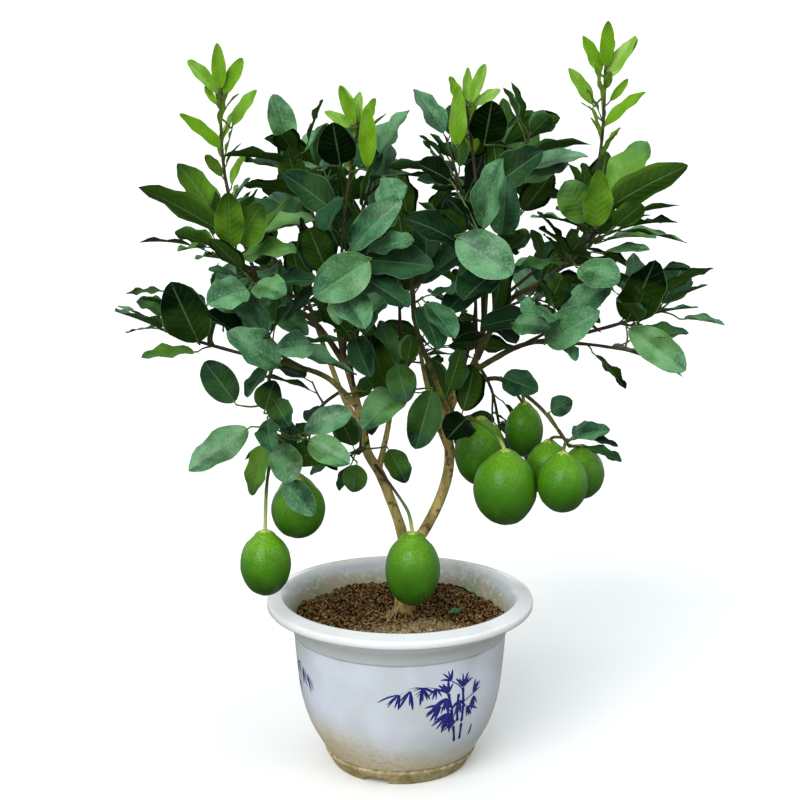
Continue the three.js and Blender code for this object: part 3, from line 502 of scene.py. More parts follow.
def blade(s):
    """Half width of a leaf along its length, 1 near its widest: a pointed oval, broader below."""
    return (4 * s * (1 - s)) ** 0.72 * (1.09 - 0.2 * s)


def leaf_point(leaf, s, w):
    """A place on a leaf's middle surface: the midrib is an arc that droops, the halves fold up a little."""
    side = np.cross(leaf["way"], leaf["face"])
    turn = leaf["bend"] * s
    run = leaf["length"] * np.sin(turn) / leaf["bend"]
    drop = leaf["length"] * (1 - np.cos(turn)) / leaf["bend"]
    half = 0.5 * leaf["width"] * blade(s)
    normal = leaf["face"] * np.cos(turn)[..., None] + leaf["way"] * np.sin(turn)[..., None]
    return (leaf["foot"] + leaf["way"] * (leaf["stalk"] + run)[..., None] - leaf["face"] * drop[..., None]
            + side * (w * half)[..., None] + normal * (LEAF_FOLD * np.abs(w) * half)[..., None])


CLOUD_S, CLOUD_W = np.meshgrid([0.02, 0.14, 0.27, 0.4, 0.54, 0.68, 0.81, 0.92], [-1, -0.5, 0, 0.5, 1],
                               indexing="ij")
FOOT_POINTS = 5
CLOUD_S = np.append(CLOUD_S.ravel(), 1.0)
CLOUD_W = np.append(CLOUD_W.ravel(), 0.0)


def leaf_cloud(leaf):
    return leaf_point(leaf, CLOUD_S, CLOUD_W)


def close_cloud(leaf):
    """More points of a leaf, close enough together that no small leaf passes between them."""
    s, w = np.meshgrid(np.linspace(0.04, 0.98, 12), np.linspace(-1, 1, 7), indexing="ij")
    return leaf_point(leaf, s.ravel(), w.ravel())


def grow_limbs():
    """The tree's trunk and boughs, each springing from a place along an earlier one."""
    limbs = {}
    for row in LIMBS:
        points = [MM * np.array(p, float) for p in row["via"]]
        if row["source"]:
            points.insert(0, limbs[row["source"]]["line"].at(row["along"]))
        limbs[row["name"]] = dict(row, line=Line(points), radii=[MM * r for r in row["radii"]])
    return limbs


def over(point):
    """A point of the left half of the crown, put over to the right half."""
    return np.array([2 * MIRROR_X - point[0], point[1], point[2] + MIRROR_LIFT])


def lay_out_masses(limbs):
    """The masses of leaves, each with its stem: a row with two seeds has a twin on the right."""
    masses = []
    for row in MASSES:
        sides = ("left", "right") if len(row["seeds"]) == 2 else ("own",)
        for i, side in enumerate(sides):
            def put(p):
                point = MM * np.array(p[:3], float)
                return over(point) if side == "right" else point
            limb = limbs[row["bough"] if side == "own" else f"bough_{side}_{row['bough']}"]
            start = limb["line"].at(row["along"])
            centre = put(row["centre"])
            end = put(row["end"]) if row["end"] else start + (centre - start) * 1.1
            swing = STEM_SWING * np.linalg.norm(end - start)
            middle = start + (end - start) * 0.45 + limb["line"].way(row["along"]) * swing
            masses.append({
                "name": row["name"] if side == "own" else f"{row['name']}_{side}", "row": row["name"],
                "limb": limb, "centre": centre, "reach": MM * np.array(row["reach"], float),
                "shoots": row["shoots"], "leaves": row["leaves"], "seed": row["seeds"][i],
                "kind": row["kind"], "flip": -1 if side == "right" else 1,
                "stem": Line([start, middle, end]),
                "show": [{"foot": put(p), "tip": put(p[3:]), "width": MM * p[6], "facing": p[7]}
                         for p in row["show"]],
                "fruit": [{"centre": put(p), "across": MM * p[3], "tall": MM * p[4]} for p in row["fruit"]],
            })
    return masses


def nearest_on_stem(stem, point, first, weigh=lambda place: 0.0):
    """The cheapest place on a stem to reach a point from, in tenths from a first tenth."""
    best = (math.inf, None, None)
    for i in range(first, 11):
        share = min(i / 10, TWIG_END)
        place = stem.at(share)
        cost = np.linalg.norm(place - point) + weigh(place)
        if cost < best[0]:
            best = (cost, share, place)
    return best


def inside_reach(mass, points, share):
    return np.linalg.norm((points - mass["centre"]) / mass["reach"], axis=-1) < share


def show_leaf(mass, show):
    """A leaf that stands out in view: its footstalk comes off the stem, and it faces up and to the viewer."""
    cost, share, place = nearest_on_stem(mass["stem"], show["foot"], 3)
    bulge = mass["stem"].way(share) * 0.1 * cost
    footstalk = Line([place, (place + show["foot"]) / 2 + bulge, show["foot"]])
    chord = unit(show["tip"] - show["foot"])
    up = UP * (1 - abs(show["facing"])) + VIEW * show["facing"]
    up = unit(up - chord * (up @ chord))
    tilt = SHOW_BEND / 2
    way = chord * math.cos(tilt) + up * math.sin(tilt)
    face = up * math.cos(tilt) - chord * math.sin(tilt)
    length = np.linalg.norm(show["tip"] - show["foot"]) - SHOW_STALK
    return {"foot": show["foot"], "way": way, "face": face, "length": length, "width": show["width"],
            "bend": SHOW_BEND, "stalk": SHOW_STALK}, footstalk


def draw_leaf(mass, dice, twig, n, rank, per_twig, attempt):
    """One try at a leaf: its turn round the twig, its way, size and droop, facing up and out of the crown."""
    line, first = twig
    kind = mass["kind"]
    share = min(1 - (1 - first) * (rank + 0.6 * dice.roll()) / per_twig, TWIG_END)
    foot, along = line.at(share), line.way(share)
    u, v = across(along)
    angle = GOLDEN * n + dice.between((-0.6, 0.6)) + attempt * 0.9
    forward = dice.between(kind["forward"]) + (0.5 if kind is LEAF and rank == 0 else 0)
    lift = 0.4 if kind is FLUSH else dice.between((-0.25, 0.3))
    way = unit(along * forward + u * math.cos(angle) * mass["flip"] + v * math.sin(angle) + UP * lift)
    length = dice.between(kind["length"]) * (1 - 0.02 * attempt)
    width = length * dice.between(kind["slim"])
    bend = dice.between(kind["bend"])
    stalk = dice.between(kind["stalk"])
    outward = unit(np.array([foot[0] - MIRROR_X, foot[1], 0.0]))
    face = UP + outward * 0.55
    face[0] += dice.between((-0.35, 0.35)) * mass["flip"]
    face[1] += dice.between((-0.35, 0.35))
    face = unit(face - way * (face @ way))
    return {"foot": foot, "way": way, "face": face, "length": length, "width": width,
            "bend": 0.02 if abs(bend) < 0.02 else bend, "stalk": stalk}


class Crown:
    """Grows the masses one by one, and keeps every limb, twig and leaf clear of the others."""

    def __init__(self, limbs):
        self.masses = lay_out_masses(limbs)
        self.wood = {"a": [], "b": [], "radius": [], "owner": []}
        self.clouds, self.middles, self.owners = [], [], []
        for limb in limbs.values():
            self.add_wood(limb["line"], 10, [LIMB_ROOM * radius for radius in limb["radii"]], -1)
        for k, mass in enumerate(self.masses):
            self.add_wood(mass["stem"], 6, STEM_ROOM, k)
            for fruit in mass["fruit"]:
                half = UP * 0.2 * fruit["tall"]
                self.add_stretch(fruit["centre"] - half, fruit["centre"] + half, fruit["across"] / 2, -2)
        for k, mass in enumerate(self.masses):
            shown = [show_leaf(mass, show) for show in mass["show"]]
            mass["footstalks"] = [stalk for _, stalk in shown]
            mass["grown"] = [leaf for leaf, _ in shown]
            mass["side"] = self.grow_shoots(mass, k)
            for line in mass["side"]:
                self.add_wood(line, 3, SHOOT_ROOM, k)
            for line in mass["footstalks"]:
                self.add_wood(line, 3, STALK_ROOM, k)
        for k, mass in enumerate(self.masses):
            for leaf in mass["grown"]:
                self.keep(k, leaf_cloud(leaf))
        for k, mass in enumerate(self.masses):
            self.grow_leaves(mass, k)

    def add_stretch(self, a, b, radius, owner):
        for key, value in zip(("a", "b", "radius", "owner"), (a, b, radius, owner)):
            self.wood[key].append(value)
        self.packed = None

    def add_wood(self, line, steps, radii, owner):
        """A limb as thick stretches that a leaf must keep clear of."""
        for i in range(steps):
            radius = radii[0] + (radii[1] - radii[0]) * i / steps
            self.add_stretch(line.at(i / steps), line.at((i + 1) / steps), radius, owner)

    def gaps(self, points, owner):
        """The gap from each point to each stretch of wood that isn't the owner's."""
        if self.packed is None:
            self.packed = {key: np.array(value) for key, value in self.wood.items()}
        other = self.packed["owner"] != owner
        a, b = self.packed["a"][other], self.packed["b"][other]
        span = b - a
        square = np.maximum((span * span).sum(-1), 1e-15)
        t = np.clip(((points[:, None] - a) * span).sum(-1) / square, 0, 1)
        far = np.linalg.norm(points[:, None] - a - t[..., None] * span, axis=-1)
        return far - self.packed["radius"][other]

    def keep(self, k, cloud):
        self.clouds.append(cloud[FOOT_POINTS:])
        self.middles.append(cloud.mean(0))
        self.owners.append(k)

    def clear(self, k, cloud, sister, other=LEAF_CLEAR, limb=LIMB_CLEAR):
        """Whether a leaf's cloud keeps off all wood but its own mass's, and off every leaf."""
        if (self.gaps(cloud, k) <= limb).any():
            return False
        if not self.clouds:
            return True
        near = np.linalg.norm(np.array(self.middles) - cloud.mean(0), axis=-1) < TOO_FAR_TO_MEET
        picked = np.nonzero(near)[0]
        if not len(picked):
            return True
        clouds = np.array([self.clouds[i] for i in picked])
        least = np.array([sister if self.owners[i] == k else other for i in picked])
        apart = clouds[:, None] - cloud[FOOT_POINTS:][None, :, None]
        return bool(((apart * apart).sum(-1) > (least ** 2)[:, None, None]).all())

    def grow_shoots(self, mass, k):
        """Side shoots leave the stem turn by turn, lean up and keep well inside the mass's space."""
        dice = Dice(SHOOT_SEED + k)
        mean = mass["reach"].mean()
        shoots = []
        for j in range(mass["shoots"]):
            for _ in range(SHOOT_TRIES):
                share = 0.4 + 0.5 * (j + dice.roll() * 0.6) / mass["shoots"]
                start, way = mass["stem"].at(share), mass["stem"].way(share)
                u, v = across(way)
                angle = GOLDEN * (j + 1) + dice.between((0, 2 * math.pi))
                out = unit(way * 0.7 + u * math.cos(angle) * mass["flip"] + v * math.sin(angle) + UP * 0.25)
                reach = 0.36 * mean * dice.between((0.7, 1.1))
                tip = start + out * reach
                line = Line([start, (start + tip) / 2 - UP * 0.05 * reach, tip])
                gaps = self.gaps(line.at(np.array([0.2, 0.4, 0.6, 0.8, 1.0])), k)
                if inside_reach(mass, tip, 0.75) and (gaps > SHOOT_CLEAR).all():
                    shoots.append(line)
                    break
        return shoots

    def grow_leaves(self, mass, k):
        """The leaves of one mass, dealt out over its stem and shoots by its own seed."""
        dice = Dice(mass["seed"])
        twigs = [(mass["stem"], 0.55)] + [(line, 0.35) for line in mass["side"]]
        sister = FLUSH_CLEAR if mass["kind"] is FLUSH else SISTER_CLEAR
        for n in range(mass["leaves"]):
            twig, rank = twigs[n % len(twigs)], n // len(twigs)
            per_twig = max(1, math.ceil((mass["leaves"] - n % len(twigs)) / len(twigs)))
            for attempt in range(TRIES):
                leaf = draw_leaf(mass, dice, twig, n, rank, per_twig, attempt)
                cloud = leaf_cloud(leaf)
                if inside_reach(mass, cloud, 1).all() and self.clear(k, cloud, sister):
                    mass["grown"].append(leaf)
                    self.keep(k, cloud)
                    break

    def grow_fine(self, amount):
        """Smaller leaves between the others, on twiglets off the same stems, by seeds of their own."""
        self.clouds = [close_cloud(leaf)[FOOT_POINTS:] for mass in self.masses for leaf in mass["grown"]]
        self.middles = [cloud.mean(0) for cloud in self.clouds]
        self.owners = [k for k, mass in enumerate(self.masses) for _ in mass["grown"]]
        for k, mass in enumerate(self.masses):
            dice = Dice(FINE_SEED + k)
            twigs = [(mass["stem"], 0.45)] + [(line, 0.25) for line in mass["side"]]
            reaches = FLUSH_TWIGLET if mass["kind"] is FLUSH else TWIGLET
            mass["fine"], mass["twiglets"] = [], []
            count = amount * FINE_MORE.get(mass["row"], 1) * (mass["leaves"] + len(mass["show"]) + 2)
            for n in range(round(count)):
                line, first = twigs[n % len(twigs)]
                for _ in range(FINE_TRIES):
                    share = min(first + (1 - first) * dice.roll(), 0.98)
                    leaf, twiglet = self.draw_fine(mass, dice, line.at(share), line.way(share), n, reaches)
                    cloud = close_cloud(leaf)
                    if inside_reach(mass, cloud, FINE_REACH).all() and self.clear(k, cloud, *FINE_CLEAR):
                        mass["fine"].append(leaf)
                        mass["twiglets"].append(twiglet)
                        self.keep(k, cloud)
                        break

    def draw_fine(self, mass, dice, start, along, n, reaches):
        """One try at a small leaf at the end of its own twiglet."""
        u, v = across(along)
        angle = GOLDEN * n + dice.between((-1.2, 1.2))
        out = unit(along * 0.8 + u * math.cos(angle) + v * math.sin(angle) + UP * 0.2)
        reach = dice.between(reaches)
        tip = start + out * reach
        length = dice.between(mass["kind"]["length"]) * dice.between(FINE_SIZE)
        way = unit(out + along * dice.between((0.1, 0.8)) + UP * dice.between((-0.35, 0.2)))
        face = UP + unit(np.array([tip[0] - MIRROR_X, tip[1], 0.0])) * 0.5
        face = face + np.array([dice.between((-0.4, 0.4)), dice.between((-0.4, 0.4)), 0.0])
        leaf = {"foot": tip, "way": way, "face": unit(face - way * (face @ way)), "length": length,
                "width": length * dice.between(mass["kind"]["slim"]), "bend": dice.between((0.1, 0.5)),
                "stalk": FINE_STALK}
        return leaf, Line([start, (start + tip) / 2 + along * 0.12 * reach, tip])


def fruit_stalk(mass, fruit):
    """The stalk that a fruit hangs from: off its stem, bowed over, into the fruit's neck."""
    neck = fruit["centre"] + UP * (0.5 * fruit["tall"] - 0.002)
    _, _, place = nearest_on_stem(mass["stem"], neck, 4, lambda p: 0.5 * abs(p[0] - neck[0]))
    bow = place + (neck - place) * 0.75
    bow[2] = place[2] + 0.45 * (neck[2] - place[2])
    return Line([place, bow, neck])


def value_noise(points, seed):
    """Smooth noise from -1 to 1: a random number at each whole-number place, blended by a cubic step."""
    base = np.floor(points).astype(np.int64)
    f = points - base
    f = f * f * (3 - 2 * f)
    total = np.zeros(points.shape[:-1])
    for corner in range(8):
        step = np.array([corner & 1, corner >> 1 & 1, corner >> 2 & 1])
        at = base + step
        key = at[..., 0] * 73856093 ^ at[..., 1] * 19349663 ^ at[..., 2] * 83492791 ^ seed * 97531
        key = ((key & 0x7FFFFFFF) * 48271 + 11) % 2147483647 * 16807 % 2147483647
        weight = np.where(step, f, 1 - f).prod(-1)
        total += weight * (key / 1073741823.5 - 1)
    return total


def layered_noise(points, seed, layers=3):
    """Noise at a size, at half the size and so on, each layer half as strong."""
    return sum(value_noise(points * 2 ** i, seed + i) / 2 ** i for i in range(layers))


class Surface:
    """Gathers points, faces and a value of each kind per point, then makes one smooth mesh of them."""

    def __init__(self):
        self.points, self.quads, self.triangles, self.margins, self.fields = [], [], [], [], {}
        self.count = 0

    def add(self, points, quads, triangles, margin=False, **fields):
        points = points.reshape(-1, 3)
        self.margins.append(np.broadcast_to(margin, len(points)))
        self.quads.append(quads.reshape(-1, 4) + self.count)
        self.triangles.append(triangles.reshape(-1, 3) + self.count)
        for key, value in fields.items():
            value = np.asarray(value, float)
            shape = (len(points), 3) if key == "place" else (len(points),)
            self.fields.setdefault(key, []).append(np.broadcast_to(value, shape))
        self.points.append(points)
        self.count += len(points)

    def build(self, name, material):
        """One mesh object at the origin, smooth but for its margins, with the values as point attributes."""
        mesh = bpy.data.meshes.new(name)
        quads, triangles = np.concatenate(self.quads), np.concatenate(self.triangles)
        sizes = np.concatenate([np.full(len(quads), 4), np.full(len(triangles), 3)])
        corners = np.concatenate([quads.ravel(), triangles.ravel()])
        mesh.vertices.add(self.count)
        mesh.vertices.foreach_set("co", np.concatenate(self.points).astype(np.float32).ravel())
        mesh.loops.add(len(corners))
        mesh.loops.foreach_set("vertex_index", corners.astype(np.int32))
        mesh.polygons.add(len(sizes))
        mesh.polygons.foreach_set("loop_start", (np.cumsum(sizes) - sizes).astype(np.int32))
        mesh.polygons.foreach_set("use_smooth", np.ones(len(sizes), bool))
        for key, parts in self.fields.items():
            kind, slot = ("FLOAT_VECTOR", "vector") if key == "place" else ("FLOAT", "value")
            attribute = mesh.attributes.new(key, kind, "POINT")
            attribute.data.foreach_set(slot, np.concatenate(parts).astype(np.float32).ravel())
        mesh.update(calc_edges=True)
        ends = np.zeros(2 * len(mesh.edges), np.int32)
        mesh.edges.foreach_get("vertices", ends)
        sharp = np.concatenate(self.margins)[ends].reshape(-1, 2).all(1)
        mesh.attributes.new("sharp_edge", "BOOLEAN", "EDGE").data.foreach_set("value", sharp)
        mesh.materials.append(material)
        piece = bpy.data.objects.new(name, mesh)
        bpy.context.scene.collection.objects.link(piece)
        return piece


def ring_faces(rings, sides):
    """Quads between rings of points, and fans that close the first and last ring on two end points."""
    index = np.arange(rings * sides).reshape(rings, sides)
    turned = np.roll(index, -1, axis=1)
    quads = np.stack([index[:-1], turned[:-1], turned[1:], index[1:]], -1).reshape(-1, 4)
    first = np.stack([np.full(sides, rings * sides), turned[0], index[0]], -1)
    last = np.stack([np.full(sides, rings * sides + 1), index[-1], turned[-1]], -1)
    return quads, np.concatenate([first, last])


def sheet_faces(rows, columns):
    """Faces of a closed thin sheet: a grid above, the same grid below with the margin shared, and a point at
    the foot and at the tip. Points run: upper grid, lower inner grid, foot, tip. A square below starts at the
    same corner as the one above, so that both fold along the same diagonal."""
    upper = np.arange(rows * columns).reshape(rows, columns)
    inner = rows * columns + np.arange(rows * (columns - 2)).reshape(rows, columns - 2)
    lower = np.concatenate([upper[:, :1], inner, upper[:, -1:]], axis=1)
    foot = rows * columns + inner.size
    quads, fans = [], []
    for grid, way in ((upper, 1), (lower, -1)):
        square = np.stack([grid[:-1, :-1], grid[:-1, 1:], grid[1:, 1:], grid[1:, :-1]], -1).reshape(-1, 4)
        quads.append(square[:, [0, way, 2, -way]])
        fans.append(np.stack([np.full(columns - 1, foot), grid[0, 1:], grid[0, :-1]], -1)[:, ::way])
        fans.append(np.stack([np.full(columns - 1, foot + 1), grid[-1, :-1], grid[-1, 1:]], -1)[:, ::way])
    return np.concatenate(quads), np.concatenate(fans)


def sheet_margin(rows, columns):
    """Which of a thin sheet's points lie on its margin."""
    upper = np.zeros((rows, columns), bool)
    upper[:, [0, -1]] = True
    return np.concatenate([upper.ravel(), np.zeros(rows * (columns - 2), bool), [True, True]])


def batch(faces, copies, points_each):
    """The same faces for each of several copies of a group of points."""
    return (faces[None] + (np.arange(copies) * points_each)[:, None, None]).reshape(-1, faces.shape[1])


def leaf_sheets(surface, leaves, waves, thickness):
    """Each leaf as a thin closed sheet over s from foot to tip and w from margin to margin. The half width is
    the oval to the power BLUNT, skewed along s. The way out from the midrib is w times it. The lift is the
    fold times w to the power 1.25, plus a sine wave along s that grows as w squared. Both turn about the
    midrib by the twist times s, and the midrib is an arc that turns by the bend times s."""
    n, rows, columns = len(leaves), len(ROWS), len(COLUMNS)
    grab = {key: np.array([leaf[key] for leaf in leaves]) for key in leaves[0]}
    s, w = (g[None] for g in np.meshgrid(ROWS, COLUMNS, indexing="ij"))

    def each(v):
        return np.asarray(v)[:, None, None]

    def spread(v):
        return v[:, None, None, :]

    phase, twist, depth, fold, skew = (each(v) for v in zip(*waves))
    bend, length = each(grab["bend"]), each(grab["length"])
    turn = bend * s
    half = 0.5 * each(grab["width"]) * blade(s) ** BLUNT * (1 + skew * (s - 0.5))
    wave = depth * half * w * w * np.sin(2 * math.pi * (WAVES * s ** 1.3 + phase) + w * 1.7)
    lift = LEAF_FOLD * fold * np.abs(w) ** 1.25 * half + wave
    roll = twist * s
    flat = w * half * np.cos(roll) - lift * np.sin(roll)
    high = w * half * np.sin(roll) + lift * np.cos(roll)
    side = np.cross(grab["way"], grab["face"])
    normal = spread(grab["face"]) * np.cos(turn)[..., None] + spread(grab["way"]) * np.sin(turn)[..., None]
    run = each(grab["stalk"]) + length * np.sin(turn) / bend
    drop = length * (1 - np.cos(turn)) / bend
    middle = spread(grab["foot"]) + spread(grab["way"]) * run[..., None]
    middle = middle - spread(grab["face"]) * drop[..., None]
    upper = middle + spread(side) * flat[..., None] + normal * high[..., None]
    thick = (thickness * (1 - w * w) * np.minimum(1, 8 * (1 - s)))[..., None]
    lower = (upper - normal * thick)[:, :, 1:-1]
    foot, tip = (leaf_ends(grab, share)[:, None] for share in (0.0, 1.0))
    points = np.concatenate([upper.reshape(n, -1, 3), lower.reshape(n, -1, 3), foot, tip], 1)
    count = points.shape[1]
    quads, fans = sheet_faces(rows, columns)
    s, w = (np.concatenate([g[0].ravel(), g[0][:, 1:-1].ravel(), ends])
            for g, ends in ((s, [0, 1]), (w, [0, 0])))
    seeds = np.repeat(np.arange(n) * 0.618034 % 1, count)
    below = np.concatenate([np.zeros(rows * columns), np.ones(rows * (columns - 2)), [0.5, 0.5]])
    surface.add(points, batch(quads, n, count), batch(fans, n, count),
                margin=np.tile(sheet_margin(rows, columns), n),
                place=np.stack([np.tile(w, n), np.tile(s, n), seeds], -1), under=np.tile(below, n),
                tone=np.repeat(grab["tone"], count), age=np.repeat(grab["age"], count))


def leaf_ends(grab, share):
    """The midrib's place at a share of each leaf's length."""
    turn = (grab["bend"] * share)[:, None]
    size = (grab["length"] / grab["bend"])[:, None]
    return (grab["foot"] + grab["way"] * (grab["stalk"][:, None] + size * np.sin(turn))
            - grab["face"] * size * (1 - np.cos(turn)))


def tubes(surface, points, radii, sides, **fields):
    """Round limbs: a ring is the line's place plus radius times cos a along u and sin a along v. u is carried
    along the line without twisting, and each end is closed on a point."""
    n, rings = points.shape[:2]
    ways = unit(np.gradient(points, axis=1))
    side = unit(np.cross(ways[:, 0], np.array([0.31, 0.95, 0.05])))
    frames = []
    for j in range(rings):
        side = unit(side - ways[:, j] * (side * ways[:, j]).sum(-1, keepdims=True))
        frames.append(side)
    u = np.stack(frames, 1)
    v = np.cross(ways, u)
    angle = np.arange(sides) * 2 * math.pi / sides
    radii = radii[..., None] if radii.ndim == 2 else radii
    ring = (points[:, :, None] + u[:, :, None] * (radii * np.cos(angle))[..., None]
            + v[:, :, None] * (radii * np.sin(angle))[..., None])
    reach = radii.mean(-1)
    start = points[:, 0] - ways[:, 0] * reach[:, :1] * 0.35
    end = points[:, -1] + ways[:, -1] * reach[:, -1:] * 0.35
    quads, fans = ring_faces(rings, sides)
    count = rings * sides + 2
    spread = {}
    for key, value in fields.items():
        rows = np.broadcast_to(value, (n, rings))
        spread[key] = np.concatenate([np.repeat(rows, sides, axis=1), rows[:, :1], rows[:, -1:]], 1).ravel()
    surface.add(np.concatenate([ring.reshape(n, -1, 3), start[:, None], end[:, None]], 1),
                batch(quads, n, count), batch(fans, n, count), **spread)


class Field:
    """A value inside a material: arithmetic on it adds maths nodes."""

    def __init__(self, finish, socket):
        self.finish, self.socket = finish, socket

    def maths(self, operation, *values, clamp=False):
        return self.finish.node("ShaderNodeMath", {"operation": operation, "use_clamp": clamp},
                                dict(enumerate(values)))

    def __add__(self, other):
        return self.maths("ADD", self, other)

    __radd__ = __add__

    def __sub__(self, other):
        return self.maths("SUBTRACT", self, other)

    def __rsub__(self, other):
        return self.maths("SUBTRACT", other, self)

    def __mul__(self, other):
        return self.maths("MULTIPLY", self, other)

    __rmul__ = __mul__

    def __abs__(self):
        return self.maths("ABSOLUTE", self)

    def clamp(self):
        return self.maths("ADD", self, 0.0, clamp=True)

    def whole(self):
        return self.maths("FLOOR", self)

    def step(self, low, high):
        """0 below low, 1 above high, smooth between; turned round where high is below low."""
        if high < low:
            return 1 - self.step(high, low)
        return self.finish.node("ShaderNodeMapRange", {"interpolation_type": "SMOOTHSTEP"},
                                {0: self, 1: low, 2: high, 3: 0.0, 4: 1.0})


class Finish:
    """One material: its shader, and the nodes that feed it."""

    def __init__(self, name, **fixed):
        self.material = bpy.data.materials.new(name)
        self.material.use_nodes = True
        self.tree = self.material.node_tree
        self.shader = self.tree.nodes["Principled BSDF"]
        for socket, value in fixed.items():
            self.shader.inputs[socket.replace("_", " ")].default_value = value

    def node(self, kind, settings=None, values=None, out=0):
        """Adds a node: its settings first, then its sockets' values or links."""
        node = self.tree.nodes.new(kind)
        for key, value in (settings or {}).items():
            setattr(node, key, value)
        for key, value in (values or {}).items():
            self.feed(node.inputs[key], value)
        return Field(self, node.outputs[out])

    def feed(self, socket, value):
        if isinstance(value, Field):
            self.tree.links.new(value.socket, socket)
        else:
            socket.default_value = value

    def set(self, **values):
        for socket, value in values.items():
            self.feed(self.shader.inputs[socket.replace("_", " ")], value)

    def place(self):
        return self.node("ShaderNodeTexCoord", out=3)

    def split(self, vector):
        return [self.node("ShaderNodeSeparateXYZ", None, {0: vector}, out=i) for i in range(3)]

    def value(self, name):
        return self.node("ShaderNodeAttribute", {"attribute_name": name}, out=2)

    def vector(self, name):
        return self.node("ShaderNodeAttribute", {"attribute_name": name}, out=1)

    def noise(self, scale, detail=2.0, rough=0.5, at=None, stretch=None):
        """Noise from 0 to 1, scale in lumps per metre."""
        at = at or self.place()
        if stretch:
            at = self.node("ShaderNodeVectorMath", {"operation": "MULTIPLY"}, {0: at, 1: stretch})
        return self.node("ShaderNodeTexNoise", None, {"Vector": at, "Scale": scale, "Detail": detail,
                                                      "Roughness": rough})

    def cells(self, scale):
        """Distance to the nearest of scattered points, scale in points per metre."""
        return self.node("ShaderNodeTexVoronoi", None, {"Vector": self.place(), "Scale": scale})

    def mix(self, share, a, b):
        """Colour a at share 0, colour b at share 1."""
        return self.node("ShaderNodeMix", {"data_type": "RGBA"}, {0: share, 6: a, 7: b}, out=2)

    def layers(self, base, *layers):
        """Colours laid over a base one by one, each by its share."""
        for share, colour in layers:
            base = self.mix(share, base, colour)
        return base

    def bump(self, height, distance, strength):
        values = {"Height": height, "Distance": distance, "Strength": strength}
        return self.node("ShaderNodeBump", None, values)


def rgb(red, green, blue):
    """A colour given as screen values of 0 to 255, as linear light."""
    def linear(v):
        v = v / 255
        return v / 12.92 if v <= 0.04045 else ((v + 0.055) / 1.055) ** 2.4
    return (linear(red), linear(green), linear(blue), 1.0)


def glaze_finish(colour):
    """White glaze, a little blue: a tan wash and stain up from the foot, more on the left, with brown grime,
    a dirty foot ring, a darker brown line along the seam, a painted highlight that makes the lip lighter and
    whiter, painted shade in grey on the neck under the lip and in a dark line in the step at the foot of the
    neck, and soil and moss stains with painted shade on the inner wall."""
    finish = Finish("glaze", IOR=1.5, Coat_Roughness=0.05)
    x, _, z = finish.split(finish.place())
    inside = finish.value("inside")
    cloud = finish.noise(16, 3.0)
    drip = finish.noise(55, 3.0, stretch=(1, 1, 0.2))
    grime = finish.noise(190, 5.0, 0.7)
    speck = finish.noise(850, 2.0)
    # Painted highlight: the lip is painted lighter and whiter, for the light on its top.
    lip_highlight = z.step(*LIP_HIGHLIGHT) * (1 - inside * z.step(*INNER_RIM))
    low = (z + x * 0.25).step(0.085, 0.0)
    wash = (low * 1.15 + (drip - 0.5) * 0.9 * low + (cloud - 0.5) * 1.2 * low).step(0.15, 1.0)
    spots = (grime + low * 0.14).step(0.6, 0.76) * low
    stain = (z + x * 0.2 + (drip - 0.5) * 0.03).step(0.05, 0.014)
    foot = z.step(*FOOT_TOP)
    # A darker brown line along the seam, where the foot ring meets the wall.
    seam = abs(z - SEAM).step(0.0025, 0.0005) * (grime.step(0.4, 0.6) * 0.6 + 0.2)
    # Painted shade: a dark line in the step at the neck line.
    step_shade = abs(z - NECK_LINE).step(0.0014, 0.0002) * (cloud.step(0.4, 0.65) * 0.5 + 0.15)
    # The inner wall below the rim: soil and moss stains, and painted shade that makes it greyer and darker.
    deep = inside * (z + (grime - 0.5) * 0.02 + (cloud - 0.5) * 0.03).step(*INNER_WALL)
    clay = finish.mix(cloud.step(0.4, 0.6), rgb(158, 136, 76), rgb(124, 114, 56))
    moss = finish.mix(drip.step(0.45, 0.6), rgb(170, 158, 122), rgb(142, 154, 104))
    base = finish.layers(
        colour,
        (cloud.step(0.3, 0.7), rgb(194, 201, 206)),
        ((cloud - 0.2 + speck * 0.3).step(0.6, 0.9) * 0.3, rgb(182, 190, 176)),
        (lip_highlight * (0.75 - grime.step(0.5, 0.7) * 0.25), rgb(239, 239, 236)),
        # Painted shade: the neck under the lip in grey.
        (abs(z - LIP_SHADE).step(0.008, 0.004) * 0.8, rgb(184, 189, 186)),
        (wash * 0.42, rgb(220, 204, 150)),
        (spots * 0.34, rgb(134, 118, 66)),
        (stain * (grime.step(0.35, 0.65) * 0.35 + 0.3), rgb(192, 168, 108)),
        (foot * (0.45 + drip.step(0.35, 0.65) * 0.25 + grime.step(0.4, 0.6) * 0.3), clay),
        (seam * 0.75, rgb(104, 88, 46)),
        (step_shade * 0.8, rgb(112, 116, 112)),
        (deep * 0.85, finish.mix(grime.step(0.5, 0.62) * 0.7, moss, rgb(196, 196, 180))),
    )
    dirt = (wash * 0.5 + spots + foot * 0.7 + deep).clamp()
    finish.set(Base_Color=base, Roughness=0.16 + dirt * 0.55 + speck * 0.05, Coat_Weight=0.5 - dirt * 0.5,
               Normal=finish.bump(cloud * 0.4 + dirt * grime, 0.0008, 0.5))
    return finish.material


def ink_finish(colour):
    """Cobalt ink under the glaze, thinner and paler in places along a stroke."""
    finish = Finish("ink", IOR=1.5, Specular_IOR_Level=0.15, Coat_Roughness=0.05)
    wash = finish.noise(420, 3.0)
    tone = finish.value("tone")
    share = (tone * 0.4 + wash.step(0.45, 0.8) * 0.4).clamp()
    finish.set(Base_Color=finish.mix(share * 0.5, colour, rgb(92, 98, 168)), Roughness=0.18 + wash * 0.1,
               Coat_Weight=0.1, Normal=finish.bump(wash, 0.0001, 0.4))
    return finish.material


